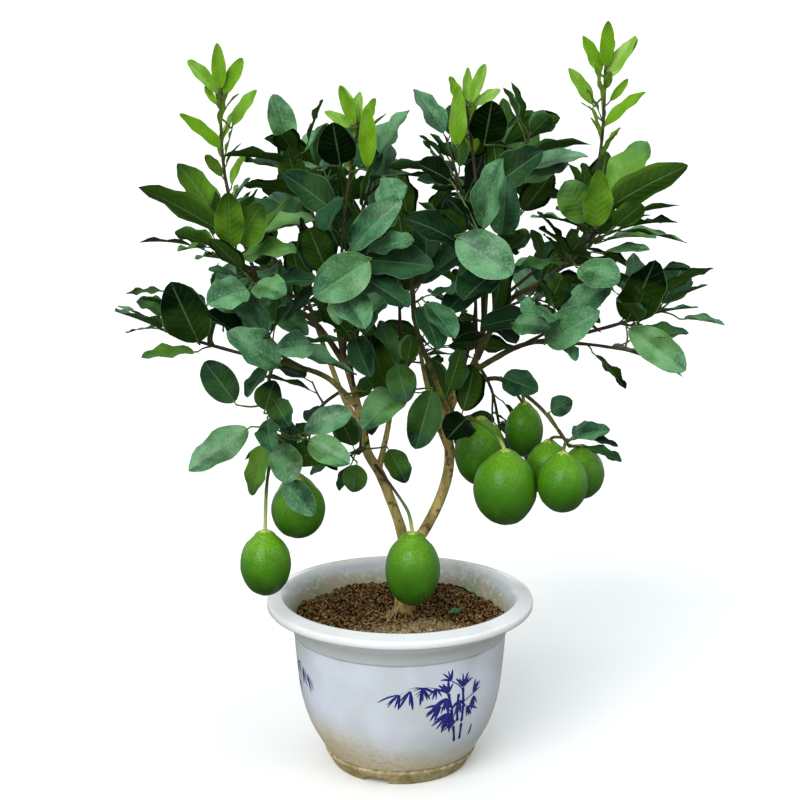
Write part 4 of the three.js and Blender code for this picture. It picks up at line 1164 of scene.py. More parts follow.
def soil_finish(colour):
    """Dark, crumbly soil with paler grains, sandier towards the front, and painted shade in the gaps between
    clumps.
    """
    finish = Finish("soil", Specular_IOR_Level=0.1)
    x, y, _ = finish.split(finish.place())
    tone = finish.value("tone")
    crumb = finish.noise(560, 5.0, 0.7)
    patch = finish.noise(42, 3.0)
    clump = finish.cells(360)
    sand = (y * -34 - abs(x - 0.022) * 14 - 0.35 + (patch - 0.5) * 2).step(0.0, 0.8)
    chips = finish.cells(290).step(0.42, 0.24) * finish.noise(150, 2.0).step(0.53, 0.58)
    base = finish.layers(
        rgb(28, 11, 0),
        # Painted shade: the dark base is left in the gaps between clumps.
        ((crumb * 0.9 + 0.66 - clump * 1.2).step(0.3, 0.95), colour),
        (sand * 0.85, finish.mix(crumb.step(0.36, 0.6), rgb(104, 84, 50), rgb(226, 204, 156))),
        (patch.step(0.55, 0.7) * 0.3, rgb(62, 40, 12)),
        (tone.step(0.25, 0.45) * 0.7, rgb(124, 92, 54)),
        (chips * 0.7, rgb(214, 192, 156)),
        (tone.step(0.55, 1.0) * 0.8, rgb(186, 160, 112)),
    )
    finish.set(Base_Color=base, Roughness=0.82 + crumb * 0.15,
               Normal=finish.bump(crumb - clump * 1.5, 0.003, 1.0))
    return finish.material


def bark_finish(colour):
    """Tan bark: fine furrows along the limb, brown patches and corky specks, green low down and in streaks,
    and painted shade up in the crown, dark and greenish."""
    finish = Finish("bark", Specular_IOR_Level=0.3)
    _, _, z = finish.split(finish.place())
    furrow = finish.noise(520, 4.0, 0.65, stretch=(1, 1, 0.16))
    patch = finish.noise(52, 3.0)
    streak = finish.noise(95, 3.0, stretch=(1, 1, 0.22))
    speck = finish.cells(430).step(0.3, 0.1)
    ridge = furrow.step(0.4, 0.6)
    # Painted shade: up in the crown, where the leaves shade the boughs, the bark is painted dark.
    crown = (z + (patch - 0.5) * 0.1).step(0.345, 0.425)
    foot = (z + (patch - 0.5) * 0.02).step(0.185, 0.15)
    base = finish.layers(
        finish.mix(furrow.step(0.35, 0.65), finish.mix(patch, colour, rgb(170, 148, 88)), colour),
        (patch.step(0.56, 0.64) * 0.5, rgb(122, 92, 44)),
        (finish.noise(120, 3.0).step(0.57, 0.62) * 0.8, rgb(84, 54, 20)),
        (streak.step(0.5, 0.64) * 0.5, rgb(112, 116, 54)),
        (furrow.step(0.46, 0.32) * 0.45, rgb(92, 74, 36)),
        (speck * 0.35, rgb(232, 222, 178)),
        (foot * 0.75, finish.mix(ridge, rgb(70, 50, 14), rgb(122, 100, 46))),
        (finish.value("slim") * 0.85, finish.mix(ridge, rgb(50, 60, 26), rgb(96, 108, 62))),
        (crown * 0.86, finish.mix(streak.step(0.4, 0.7), rgb(42, 38, 18), rgb(74, 80, 34))),
    )
    finish.set(Base_Color=base, Roughness=0.72 + patch * 0.15,
               Normal=finish.bump(furrow + speck * 0.5, 0.0009, 0.9))
    return finish.material


def twig_finish(green, brown):
    """Thin twigs: green where young, brown and finely furrowed where woody, pale above a fruit."""
    finish = Finish("twig", Specular_IOR_Level=0.4)
    furrow = finish.noise(900, 3.0, stretch=(1, 1, 0.35))
    patch = finish.noise(70, 2.0)
    ripe = (finish.value("ripe") + (patch - 0.5) * 0.5).clamp()
    base = finish.mix(finish.value("ripe").step(0.0, -0.5), finish.mix(ripe.step(0.15, 0.7), green, brown),
                      rgb(168, 184, 104))
    base = finish.mix(furrow.step(0.5, 0.7) * 0.35, base, rgb(120, 118, 72))
    finish.set(Base_Color=base, Roughness=0.42 + ripe * 0.3, Normal=finish.bump(furrow, 0.0003, 0.7))
    return finish.material


def leaf_finish(name, top, deep, young, under, vein_and_sheen, marking):
    """A leaf: colour dealt out by leaf and cloudy over it, from the deep colour, painted shade, to the top
    one, lit; one half painted lighter as if its fold were lit, broad soft patches of painted sky reflection,
    pale painted sheen on the lightest parts and a painted highlight along the margin; midrib and veins a
    little paler than the blade, pale speckle, cloudy gloss, olive underside."""
    finish = Finish(name, IOR=1.38, Specular_IOR_Level=0.04, Coat_Roughness=0.3, Coat_IOR=1.4)
    w, s, seed = finish.split(finish.vector("place"))
    # The tone is partly dealt at random and partly painted light, from how far the leaf faces the light.
    tone, age = finish.value("tone").step(0.08, 0.72), finish.value("age")
    below = finish.value("under").step(0.3, 0.7)
    side = abs(w)
    cloud = finish.noise(46, 3.0)
    fine = finish.noise(520, 4.0, 0.65)
    # Painted reflection: broad soft patches, drawn out along the leaf, stand for the sky's reflection.
    patch = finish.noise(1.2, 1.5, 0.5, at=finish.vector("place"), stretch=(1, 2.4, 40))
    # Painted light: one half of each leaf, picked by chance, is painted lighter, as if its fold were lit.
    half = abs(w.step(-0.1, 0.1) - seed.step(0.48, 0.52))
    grain = (fine - 0.5) * (1 - age)
    # Painted light: the share mixes from the dark colour, painted shade, to the light one, lit.
    share = tone * (half * 0.3 + cloud.step(0.3, 0.7) * 0.2 + patch.step(0.25, 0.75) * 0.55 + 0.18)
    share = share + grain * (tone * 0.8 + 0.1)
    rank = (s - side * 0.22) * 8.5 + seed
    lane = abs(rank - rank.whole() - 0.5)
    midrib = side.step(0.07, 0.02)
    marks = (midrib + lane.step(0.08, 0.01) * side.step(0.9, 0.5) * cloud * 0.45).clamp()
    base = finish.layers(
        deep,
        (share.clamp(), top),
        # Painted highlight: a young leaf's colour is lightened to pale lime by the tone and the patches of
        # painted reflection.
        ((age * (cloud * 1.2 + 0.4) - s.step(0.55, 1.0) * 0.4).clamp(),
         finish.mix((tone * 0.7 + (patch - 0.5) * 1.6).clamp(), young, rgb(120, 172, 56))),
        # Painted sheen: the pale colour laid over the parts where the share is highest.
        ((share * 1.5 - 0.75 + grain).clamp() * 0.45, vein_and_sheen),
        (marks * marking, vein_and_sheen),
        (fine.step(0.55, 0.72) * (cloud + tone - age - 0.5).step(0.3, 0.8) * 0.35, vein_and_sheen),
        # Painted highlight along the margins.
        (side.step(0.93, 1.0) * 0.35, vein_and_sheen),
        (below * 0.9, finish.mix(marks * 0.6, under, vein_and_sheen)),
    )
    quilt = lane.step(0.0, 0.5) * side.step(0.95, 0.6) * 0.3 - midrib * 0.8
    quilt = quilt + cloud * 0.9 + fine * (1 - age) * 0.14
    finish.set(Base_Color=base, Roughness=0.42 + below * 0.25 + (fine - 0.5) * 0.2,
               Coat_Weight=(1 - below) * ((cloud + tone - 0.75).step(0, 0.7) * 0.45 + 0.05),
               Normal=finish.bump(quilt, 0.0007, 0.9))
    return finish.material


def fruit_finish(colour):
    """Green peel with painted light, paler above and darker below as if lit from above, with fine pits; the
    cap at the stalk is yellow-green.
    """
    finish = Finish("fruit", IOR=1.42, Specular_IOR_Level=0.2, Coat_Roughness=0.28, Coat_IOR=1.4)
    high, tone, cap = (finish.value(name) for name in ("high", "tone", "cap"))
    pits = finish.cells(760).step(0.45, 0.1)
    cloud = finish.noise(60, 3.0)
    fine = finish.noise(900, 2.0)
    # Painted light: by the height on the outline, the dark base shows as painted shade below and the pale
    # green as a painted highlight above.
    base = finish.layers(
        rgb(16, 62, 0),
        ((high * 0.62 + 0.52 + (cloud - 0.5) * 0.6).clamp(), colour),
        ((high + (cloud - 0.5) * 0.8).step(0.2, 1.1) * 0.5, rgb(128, 184, 44)),
        (tone * 0.25, rgb(52, 112, 16)),
        (pits * 0.28, rgb(150, 200, 70)),
        (fine.step(0.56, 0.72) * 0.3, rgb(28, 80, 6)),
        (cap, rgb(176, 194, 92)),
    )
    finish.set(Base_Color=base, Roughness=0.42 + (cloud - 0.5) * 0.15 + cap * 0.3,
               Coat_Weight=(1 - cap) * (high.step(-0.5, 0.5) * 0.3 + 0.05),
               Normal=finish.bump(cloud * 0.3 - pits + fine * 0.3, 0.0008, 1.0))
    return finish.material


def pot_profile():
    """The pot's section in metres, from the underside's middle out, up and in again, and the row where the
    inner wall starts. Each group of points is a smooth line, sharp where it meets the next."""
    parts, starts = [], []
    for stretch in POT_STRETCHES:
        line = Line([[r * MM, 0, z * MM] for r, z in stretch])
        count = max(3, round(np.linalg.norm(np.diff(line.points, axis=0), axis=1).sum() / POT_STEP))
        part = line.at(np.linspace(0, 1, count + 1))[:, [0, 2]]
        starts.append(sum(len(p) for p in parts))
        parts.append(part[1:] if parts else part)
    return np.concatenate(parts), starts[RIM_INNER]


def build_pot(material):
    """The pot: its section turned round the axis, so that a point is radius times cos a, radius times sin a,
    height. Noise waves the radius by a hair, and a notch lifts the foot ring's underside, eased at its sides.
    """
    profile, inner = pot_profile()
    angle = np.arange(POT_SIDES) * 2 * math.pi / POT_SIDES
    radius, height = profile[:, :1], profile[:, 1:]
    flat = np.stack([np.cos(angle) * radius, np.sin(angle) * radius, height + 0 * angle], -1)
    radius = radius + POT_WAVE * value_noise(flat * 14, 71) * np.clip(height / 0.02, 0, 1)
    rings = np.stack([np.cos(angle) * radius, np.sin(angle) * radius, height + 0 * angle], -1)
    for bearing in NOTCH_BEARINGS:
        off = np.abs((np.degrees(angle) - bearing + 180) % 360 - 180) * math.pi / 180 * radius
        ragged = NOTCH_RAGGED * value_noise(flat * 260, 73)
        rise = NOTCH_RISE * np.clip((NOTCH_HALF + NOTCH_EASE + ragged - off) / NOTCH_EASE, 0, 1)
        rings[..., 2] = np.where(height < NOTCH_RISE, np.maximum(rings[..., 2], rise), rings[..., 2])
    quads, fans = ring_faces(len(profile), POT_SIDES)
    ends = np.array([[0, 0, profile[0, 1]], [0, 0, profile[-1, 1]]])
    inside = (np.arange(len(profile)) >= inner).astype(float)
    surface = Surface()
    surface.add(np.concatenate([rings.reshape(-1, 3), ends]), quads, fans,
                inside=np.concatenate([np.repeat(inside, POT_SIDES), [0, 1]]))
    return surface.build("dressed_pot", material)


def soil_height(x, y):
    """The soil's top: its level, plus layers of noise for lumps and crumbs, plus clods that peak where a
    noise is near 0, plus a mound that falls off as e to minus the fourth power of distance over reach, less a
    sag that grows as the eighth power of the way out to the wall."""
    flat = np.stack([x, y, 0 * x], -1)
    crumbs = CRUMB_RISE * layered_noise(flat * CRUMB_FINENESS, 9, 2)
    lumps = LUMP_RISE * layered_noise(flat * LUMP_FINENESS, 5) + crumbs
    clods = CLOD_RISE * (0.45 - np.abs(value_noise(flat * CLOD_FINENESS, 15)))
    mound = (MOUND_RISE + np.abs(clods)) * np.exp(-(np.hypot(x - MOUND_X, y) / MOUND_REACH) ** 4)
    return SOIL_TOP + lumps + clods + mound - WALL_SAG * (np.hypot(x, y) / SOIL_RADIUS) ** 8


def lie_on_soil(flat, lift):
    """A line laid over the soil, kept inside the pot."""
    flat = flat * np.minimum(1, 0.98 * SOIL_RADIUS / np.linalg.norm(flat, axis=1, keepdims=True))
    return np.column_stack([flat, soil_height(flat[:, 0], flat[:, 1]) + lift])


def soil_bed(surface):
    """The closed bed: rings of the soil's height from the wall to the middle, a ring and a point below."""
    share = np.linspace(0.012, 1, SOIL_RINGS)[::-1]
    angle = np.arange(SOIL_SIDES) * 2 * math.pi / SOIL_SIDES
    x, y = share[:, None] * SOIL_RADIUS * np.cos(angle), share[:, None] * SOIL_RADIUS * np.sin(angle)
    top = np.stack([x, y, soil_height(x, y)], -1)
    bottom = np.stack([x[0] * SOIL_TAPER, y[0] * SOIL_TAPER, SOIL_TOP - SOIL_DEPTH + 0 * x[0]], -1)[None]
    quads, fans = ring_faces(SOIL_RINGS + 1, SOIL_SIDES)
    ends = np.array([[0, 0, SOIL_TOP - SOIL_DEPTH], [0, 0, float(soil_height(0.0, 0.0))]])
    points = np.concatenate([np.concatenate([bottom, top]).reshape(-1, 3), ends])
    surface.add(points, quads, fans, tone=SOIL_TONE)


def soil_grains(surface, dice, grains):
    """Loose grains: double pyramids, each corner drawn in or out by chance, spun about the upright, and sized
    by the fourth power of a chance, so that most are small."""
    out = SOIL_RADIUS * np.sqrt(dice.uniform(0.01, 0.95, grains))
    bearing = dice.uniform(0, 2 * math.pi, grains)
    centre = np.stack([out * np.cos(bearing), out * np.sin(bearing), 0 * out], -1)
    size = GRAIN_LEAST + GRAIN_SPREAD * dice.uniform(0, 1, grains) ** 4
    centre[:, 2] = soil_height(centre[:, 0], centre[:, 1]) + size * 0.3
    arms = np.array([[1, 0, 0], [0, 1, 0], [-1, 0, 0], [0, -1, 0], [0, 0, -0.7], [0, 0, 0.7]])
    spin = dice.uniform(0, 2 * math.pi, grains)
    turn = np.stack([np.cos(spin), -np.sin(spin), 0 * spin, np.sin(spin), np.cos(spin), 0 * spin,
                     0 * spin, 0 * spin, 1 + 0 * spin], -1).reshape(-1, 3, 3)
    corners = np.einsum("nij,kj->nki", turn, arms) * dice.uniform(0.6, 1.25, (grains, 6, 1))
    corners = centre[:, None] + corners * size[:, None, None]
    around, fans = ring_faces(1, 4)
    chance = PALE_SHARE + PALE_MORE * (centre[:, 1] < PALE_FRONT)
    pale = (dice.uniform(0, 1, grains) < chance) * dice.uniform(0.55, 1, grains)
    surface.add(corners, around, batch(fans, grains, 6), tone=np.repeat(np.maximum(pale, SOIL_TONE), 6))


def soil_straws(surface, dice):
    """Bits of straw: short straight lines with a slight wander, laid on the soil."""
    straws = []
    for _ in range(STRAWS):
        out, bearing = SOIL_RADIUS * math.sqrt(dice.uniform(0.06, 0.85)), dice.uniform(0, 2 * math.pi)
        way, reach = dice.uniform(0, math.pi), dice.uniform(*STRAW_LENGTH)
        start = np.array([out * math.cos(bearing), out * math.sin(bearing)])
        steps = np.linspace(-0.5, 0.5, 6)[:, None] * reach * np.array([math.cos(way), math.sin(way)])
        straws.append(lie_on_soil(start + steps + dice.normal(0, 0.0004, (6, 2)), 0.0009))
    tubes(surface, np.array(straws), np.full((len(straws), 6), STRAW_RADIUS), 6, tone=0.85)


def soil_roots(surface, dice):
    """Fine roots: each leaves the trunk at its bearing and swings off it by a sine that grows with the share,
    and tapers as the square of what is left."""
    share = np.linspace(0, 1, 16)
    roots = []
    for bearing, reach in ROOTS:
        bend = math.radians(bearing) + 0.25 * np.sin(share * 4 + dice.uniform(0, 6)) * share
        out = (ROOT_START + reach * share)[:, None]
        roots.append(lie_on_soil(out * np.stack([np.cos(bend), np.sin(bend)], -1), 0.0014))
    radii = ROOT_TAPER * (1 - share) ** 2 + ROOT_TIP
    tubes(surface, np.array(roots), np.array([radii] * len(roots)), 8, tone=0.95)


def build_soil(grains, material):
    """The soil: a closed bed with a rough top, loose crumbs and pale grains on it, bits of straw, and fine
    roots that run out from the trunk."""
    surface = Surface()
    dice = np.random.default_rng(SOIL_SEED)
    soil_bed(surface)
    soil_grains(surface, dice, grains)
    soil_straws(surface, dice)
    soil_roots(surface, dice)
    return surface.build("dressed_soil", material)


def on_wall(bearing, run, rise, lift):
    """A place on the pot's outside: run is the way round the wall from a bearing, rise the height, and lift
    goes out square to the wall, which leans by the slope of its radius over its height."""
    profile, _ = pot_profile()
    outside = np.arange(len(profile)) < len(profile) // 2
    low, high = PAINTED_WALL
    wall = profile[(profile[:, 1] > low) & (profile[:, 1] < high) & outside]
    radius = np.interp(rise, wall[:, 1], wall[:, 0])
    slope = np.interp(rise, wall[:, 1], np.gradient(wall[:, 0], wall[:, 1]))
    slant = np.sqrt(1 + slope ** 2)
    radius, rise = radius + lift / slant, rise - lift * slope / slant
    angle = math.radians(bearing) + run / SPRAY_RADIUS
    return np.stack([radius * np.cos(angle), radius * np.sin(angle), rise], -1)


def brush_stroke(surface, bearing, line, half_width, tone):
    """A stroke of ink: a closed thin sheet along a line over the wall. w times the half width is the way out
    from the line, and the lift off the wall is 1 less w squared, times the ink's."""
    share = np.linspace(0, 1, len(half_width) + 2)[1:-1]
    middle, way = line.at(share)[:, [0, 2]], line.way(share)[:, [0, 2]]
    square = np.stack([way[:, 1], -way[:, 0]], -1)
    w = COLUMNS[None, :, None]
    flat = middle[:, None] + square[:, None] * w * half_width[:, None, None]
    lift = INK_LIFT * (1 - COLUMNS ** 2) + 0 * flat[..., 0]
    upper = on_wall(bearing, flat[..., 0], flat[..., 1], lift)
    lower = on_wall(bearing, flat[:, 1:-1, 0], flat[:, 1:-1, 1], -lift[:, 1:-1])
    ends = line.at(np.array([0.0, 1.0]))[:, [0, 2]]
    ends = on_wall(bearing, ends[:, 0], ends[:, 1], np.zeros(2))
    quads, fans = sheet_faces(len(half_width), len(COLUMNS))
    surface.add(np.concatenate([upper.reshape(-1, 3), lower.reshape(-1, 3), ends]), quads, fans,
                margin=sheet_margin(len(half_width), len(COLUMNS)), tone=tone)


def spray_line(turn, points):
    """A smooth line over the unrolled wall, turned over sideways where turn is -1."""
    return Line([[turn * x * MM, 0, z * MM] for x, z in points])


def paint_tuft(surface, bearing, turn, tuft, dice):
    """A fan of pointed leaves: each is a slack arc, and its half width is a power of a sine along it, widest
    before its middle."""
    x, z, count, heading, spread, length = tuft
    for i in range(count):
        lean = math.radians(heading + spread * ((i + 0.5) / count - 0.5) + dice.uniform(-8, 8))
        reach = length * dice.uniform(0.75, 1.15)
        x1, z1 = x + reach * math.cos(lean), z + reach * math.sin(lean)
        slack = 0.08 * reach * abs(math.cos(lean))
        line = spray_line(turn, [(x, z), ((x + x1) / 2, (z + z1) / 2 + slack), (x1, z1)])
        share = np.linspace(0, 1, 12)[1:-1]
        half = reach * MM * dice.uniform(*LEAF_STROKE) * np.sin(math.pi * share ** 0.75) ** 0.8
        brush_stroke(surface, bearing, line, half, dice.uniform(0, 0.9))


def build_sprays(material):
    """Two brush-painted sprays of bamboo: canes in joints that swell at both ends, thin twigs, and tufts."""
    surface = Surface()
    share = np.linspace(0, 1, 7)
    cane_half = CANE_HALF + JOINT_SWELL * np.abs(share - 0.5) ** 2 * 4
    for number, bearing in enumerate(SPRAY_BEARINGS):
        dice = np.random.default_rng(SPRAY_SEED + number)
        turn = 1 if number == 0 else -1
        for cane in SPRAY_STALKS:
            for (x0, z0), (x1, z1) in zip(cane[:-1], cane[1:]):
                start = (x0 + (x1 - x0) * JOINT_GAP, z0 + (z1 - z0) * JOINT_GAP)
                line = spray_line(turn, [start, (x1, z1)])
                brush_stroke(surface, bearing, line, cane_half, dice.uniform(0, 0.4))
        for twig in SPRAY_TWIGS:
            line = spray_line(turn, twig)
            brush_stroke(surface, bearing, line, np.full(12, TWIG_HALF), dice.uniform(0.1, 0.6))
        for tuft in SPRAY_TUFTS:
            paint_tuft(surface, bearing, turn, tuft, dice)
    return surface.build("dressed_sprays", material)


def limb_rings(limb, share):
    """A limb's places, radii and length run. The radius tapers evenly. The trunk's flare falls off as the
    fifth power of what is left, and a bough's collar as e to minus 12 times the share."""
    points = limb["line"].at(share)
    radius = limb["radii"][0] + (limb["radii"][1] - limb["radii"][0]) * share
    radius = radius + limb["flare"] * MM * (1 - share) ** 5
    radius = radius + (COLLAR if limb["source"] else 0) * np.exp(-share * 12)
    along = np.concatenate([[0], np.cumsum(np.linalg.norm(np.diff(points, axis=0), axis=1))])
    return points, radius, along


def bark_relief(limb, share, angle, radius, along, dice):
    """How far bark stands out, as a share of the radius: noise drawn out along the limb, knots that fall off
    as e to minus the square of distance over size, and at the trunk's foot five ribs and broad swells."""
    trunk = limb["source"] is None
    grid = np.stack([np.cos(angle) * 1.3 + 0 * share[:, None], np.sin(angle) * 1.3 + 0 * share[:, None],
                     along[:, None] * 70 + 0 * angle], -1) + dice.uniform(0, 50)
    rough = BARK_FURROWS * layered_noise(grid, 31) + BARK_GRAIN * layered_noise(grid * (3, 3, 0.8), 37, 2)
    for _ in range(TRUNK_KNOTS if trunk else BOUGH_KNOTS):
        at, side = dice.uniform(0.1, 0.95), dice.uniform(0, 2 * math.pi)
        off = np.angle(np.exp(1j * (angle - side)))[None] * radius[:, None]
        size = dice.uniform(*KNOT_SIZE)
        far = np.hypot(off, (along - at * along[-1])[:, None])
        rough = rough + dice.uniform(*KNOT_RISE) * np.exp(-(far / size) ** 2)
    if trunk:
        low = ((1 - share) ** 3)[:, None]
        ribs = TRUNK_RIBS * np.sin(angle * 5 + 0.7)[None]
        rough = rough + low * (ribs + TRUNK_SWELLS * value_noise(grid * 1.7, 83))
    return rough


def build_wood(limbs, relief, material):
    """Trunk and boughs: tapering rings with rough bark, and short roots where the trunk meets the soil."""
    surface = Surface()
    dice = np.random.default_rng(WOOD_SEED)
    angle = np.arange(WOOD_SIDES) * 2 * math.pi / WOOD_SIDES
    share = np.linspace(0, 1, WOOD_RINGS)
    for limb in limbs.values():
        points, radius, along = limb_rings(limb, share)
        rough = bark_relief(limb, share, angle, radius, along, dice)
        slim = np.clip((SLIM_RADIUS - radius) / SLIM_EASE, 0, 1)
        tubes(surface, points[None], (radius[:, None] * (1 + relief * rough))[None], WOOD_SIDES, slim=slim)
    share = np.linspace(0, 1, 24)
    around = np.stack([np.cos(angle), np.sin(angle), angle * 0], -1)
    for radii, line in FOOT_ROOTS:
        points = Line(MM * np.array(line, float)).at(share)
        radius = MM * (radii[0] + (radii[1] - radii[0]) * share[:, None]) + 0 * angle
        rough = 0.16 * layered_noise(points[:, None] * 260 + around, 91)
        tubes(surface, points[None], (radius * (1 + relief * rough))[None], WOOD_SIDES, slim=0 * share)
    return surface.build("dressed_wood", material)


def petioles(masses):
    """The stalk of each leaf, from its twig into the foot of its blade, as rows of points."""
    leaves = [leaf for mass in masses for leaf in mass["grown"] + mass["fine"]]
    foot, way = (np.array([leaf[key] for leaf in leaves]) for key in ("foot", "way"))
    reach = np.array([leaf["stalk"] + 0.06 * leaf["length"] for leaf in leaves])
    share = np.linspace(0, 1, TWIG_KINDS["petiole"][1])
    return foot[:, None] + way[:, None] * (reach[:, None] * share)[..., None] - UP * 0.0002


def build_twigs(masses, material):
    """Every stem, shoot, footstalk, twiglet, leaf stalk and fruit stalk, in one mesh."""
    surface = Surface()
    lines = {
        "stem": [mass["stem"] for mass in masses],
        "shoot": [line for mass in masses for line in mass["side"]],
        "footstalk": [line for mass in masses for line in mass["footstalks"]],
        "twiglet": [line for mass in masses for line in mass["twiglets"]],
        "fruit": [fruit_stalk(mass, fruit) for mass in masses for fruit in mass["fruit"]],
    }
    for kind, (radii, rings, sides, ripe) in TWIG_KINDS.items():
        share = np.linspace(0, 1, rings)
        points = petioles(masses) if kind == "petiole" else np.stack([line.at(share) for line in lines[kind]])
        radius = np.broadcast_to(radii[0] + (radii[1] - radii[0]) * share, points.shape[:2])
        radius = radius * (1 + 0.14 * value_noise(points * 160, 47))
        tubes(surface, points, radius, sides, ripe=ripe[0] + (ripe[1] - ripe[0]) * share)
    return surface.build("dressed_twigs", material)


def build_leaves(masses, young, thickness, waving, material):
    """The grown or the young leaves of every mass, in one mesh, each with a tone and an age of its own. A
    tone is part the square of a chance and part the square of how far the leaf faces the light, along the way
    set above: painted light, lighter for a leaf that faces the light."""
    dice = np.random.default_rng(YOUNG_SEED if young else LEAF_SEED)
    leaves = []
    for mass in masses:
        if (mass["kind"] is FLUSH) != young:
            continue
        age = 1.0 if young else MASS_AGE.get(mass["row"], 0.0)
        for leaf in mass["grown"] + mass["fine"]:
            # Painted light: the more a blade faces the light, the lighter its tone.
            facing = max(0.0, leaf["face"] @ LIT_FACING)
            tone = LEAF_TONE * dice.uniform(0, 1) ** 2 + (1 - LEAF_TONE) * facing ** 2
            fresh = leaf["stalk"] == FINE_STALK and dice.uniform(0, 1) < NEW_LEAF_CHANCE
            shift = (NEW_LEAF_AGE if fresh else 0) + AGE_SHIFT
            own_age = np.clip(age + dice.normal(0, AGE_SPREAD) + shift, 0, 1)
            leaves.append(dict(leaf, tone=tone, age=own_age))
    if not young:
        scrap = {key: np.array(value) for key, value in SCRAP.items()}
        leaves.append(dict(scrap, way=unit(scrap["way"]), face=unit(scrap["face"]), tone=0.4, age=0.2))
    waves = [(dice.uniform(0, 1), dice.normal(0, TWIST_SPREAD), waving * dice.uniform(*WAVE_SHARE),
              dice.uniform(*FOLD_SHARE), dice.uniform(*SKEW)) for _ in leaves]
    surface = Surface()
    leaf_sheets(surface, leaves, waves, thickness)
    return surface.build("dressed_young_leaves" if young else "dressed_leaves", material)


def build_fruit(masses, material):
    """The fruit: an outline turned on its axis, between a narrow and a wide one by chance, with a nipple
    below and a neck above, lumpy by a hair. On the neck sits a small cap, whose radius swells in five lobes.
    """
    angle = np.arange(FRUIT_SIDES) * 2 * math.pi / FRUIT_SIDES
    around = np.stack([np.cos(angle), np.sin(angle)], -1)
    share = np.linspace(0, 1, FRUIT_RINGS)
    narrow, wide = (Line([(r, 0, z) for r, z in rows]).at(share) for rows in (FRUIT_NARROW, FRUIT_WIDE))
    cap_rings = np.array(CAP_OUTLINE)
    lobe_shares = np.array(CAP_LOBE_SHARES)[:, None]
    dice = np.random.default_rng(FRUIT_SEED)
    quads, fans = ring_faces(FRUIT_RINGS, FRUIT_SIDES)
    cap_quads, cap_fans = ring_faces(len(cap_rings), FRUIT_SIDES)
    surface = Surface()
    for mass in masses:
        for fruit in mass["fruit"]:
            half = np.array([fruit["across"], fruit["across"], fruit["tall"]]) / 2
            outline = narrow + (wide - narrow) * (1 if mass["row"] == "fruit_front" else dice.uniform(0, 0.9))
            rings = outline[:, None]
            ball = np.concatenate([rings[..., :1] * around, rings[..., 2:] + 0 * around[..., :1]], -1)
            lump = FRUIT_LUMPS * layered_noise(ball * 1.6 + dice.uniform(0, 9), 61)
            lump = lump + FRUIT_DIMPLES * value_noise(ball * 11, 63)
            points = fruit["centre"] + ball * (1 + lump[..., None]) * half
            ends = fruit["centre"] + np.array([[0, 0, -1.02], [0, 0, 0.985]]) * half
            # The height on the outline, read by the finish to paint the fruit lighter above and darker below:
            # painted light.
            high = np.concatenate([np.repeat(outline[:, 2], FRUIT_SIDES), [-1.02, 1.0]])
            tone = dice.uniform(0, 1)
            surface.add(np.concatenate([points.reshape(-1, 3), ends]), quads, fans,
                        high=high, tone=tone, cap=0.0)
            lobes = 1 + CAP_LOBES * np.cos(5 * angle + dice.uniform(0, 6)) * lobe_shares
            spread = (cap_rings[:, :1] * lobes)[..., None] * around
            cap = np.concatenate([spread, cap_rings[:, None, 1:] + 0 * spread[..., :1]], -1)
            top = fruit["centre"] + UP * 0.99 * half[2]
            ends = top + UP * np.array(CAP_ENDS)[:, None]
            surface.add(np.concatenate([(top + cap).reshape(-1, 3), ends]), cap_quads, cap_fans,
                        high=1.0, tone=tone, cap=1.0)
    return surface.build("dressed_fruit", material)


def limbs_and_masses():
    """The tree, grown once for all the operators."""
    if not TREE:
        limbs = grow_limbs()
        crown = Crown(limbs)
        crown.grow_fine(settings().fine_share)
        TREE.update(limbs=limbs, masses=crown.masses)
    return TREE["limbs"], TREE["masses"]


def settings():
    return bpy.context.scene.lemon_tree


def dress(piece, nodes):
    """The piece rides on the object, and stands for these nodes of its frame."""
    if not len(piece.data.polygons):
        raise RuntimeError(f"{piece.name} has no faces")
    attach(piece, "root")
    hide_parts(*nodes)
    return {"FINISHED"}


def mass_nodes():
    return [mass["name"] for mass in limbs_and_masses()[1]]


def colour_property(name, description, colour):
    return bpy.props.FloatVectorProperty(name=name, description=description, default=colour, size=4,
                                         min=0, max=1, subtype="COLOR")


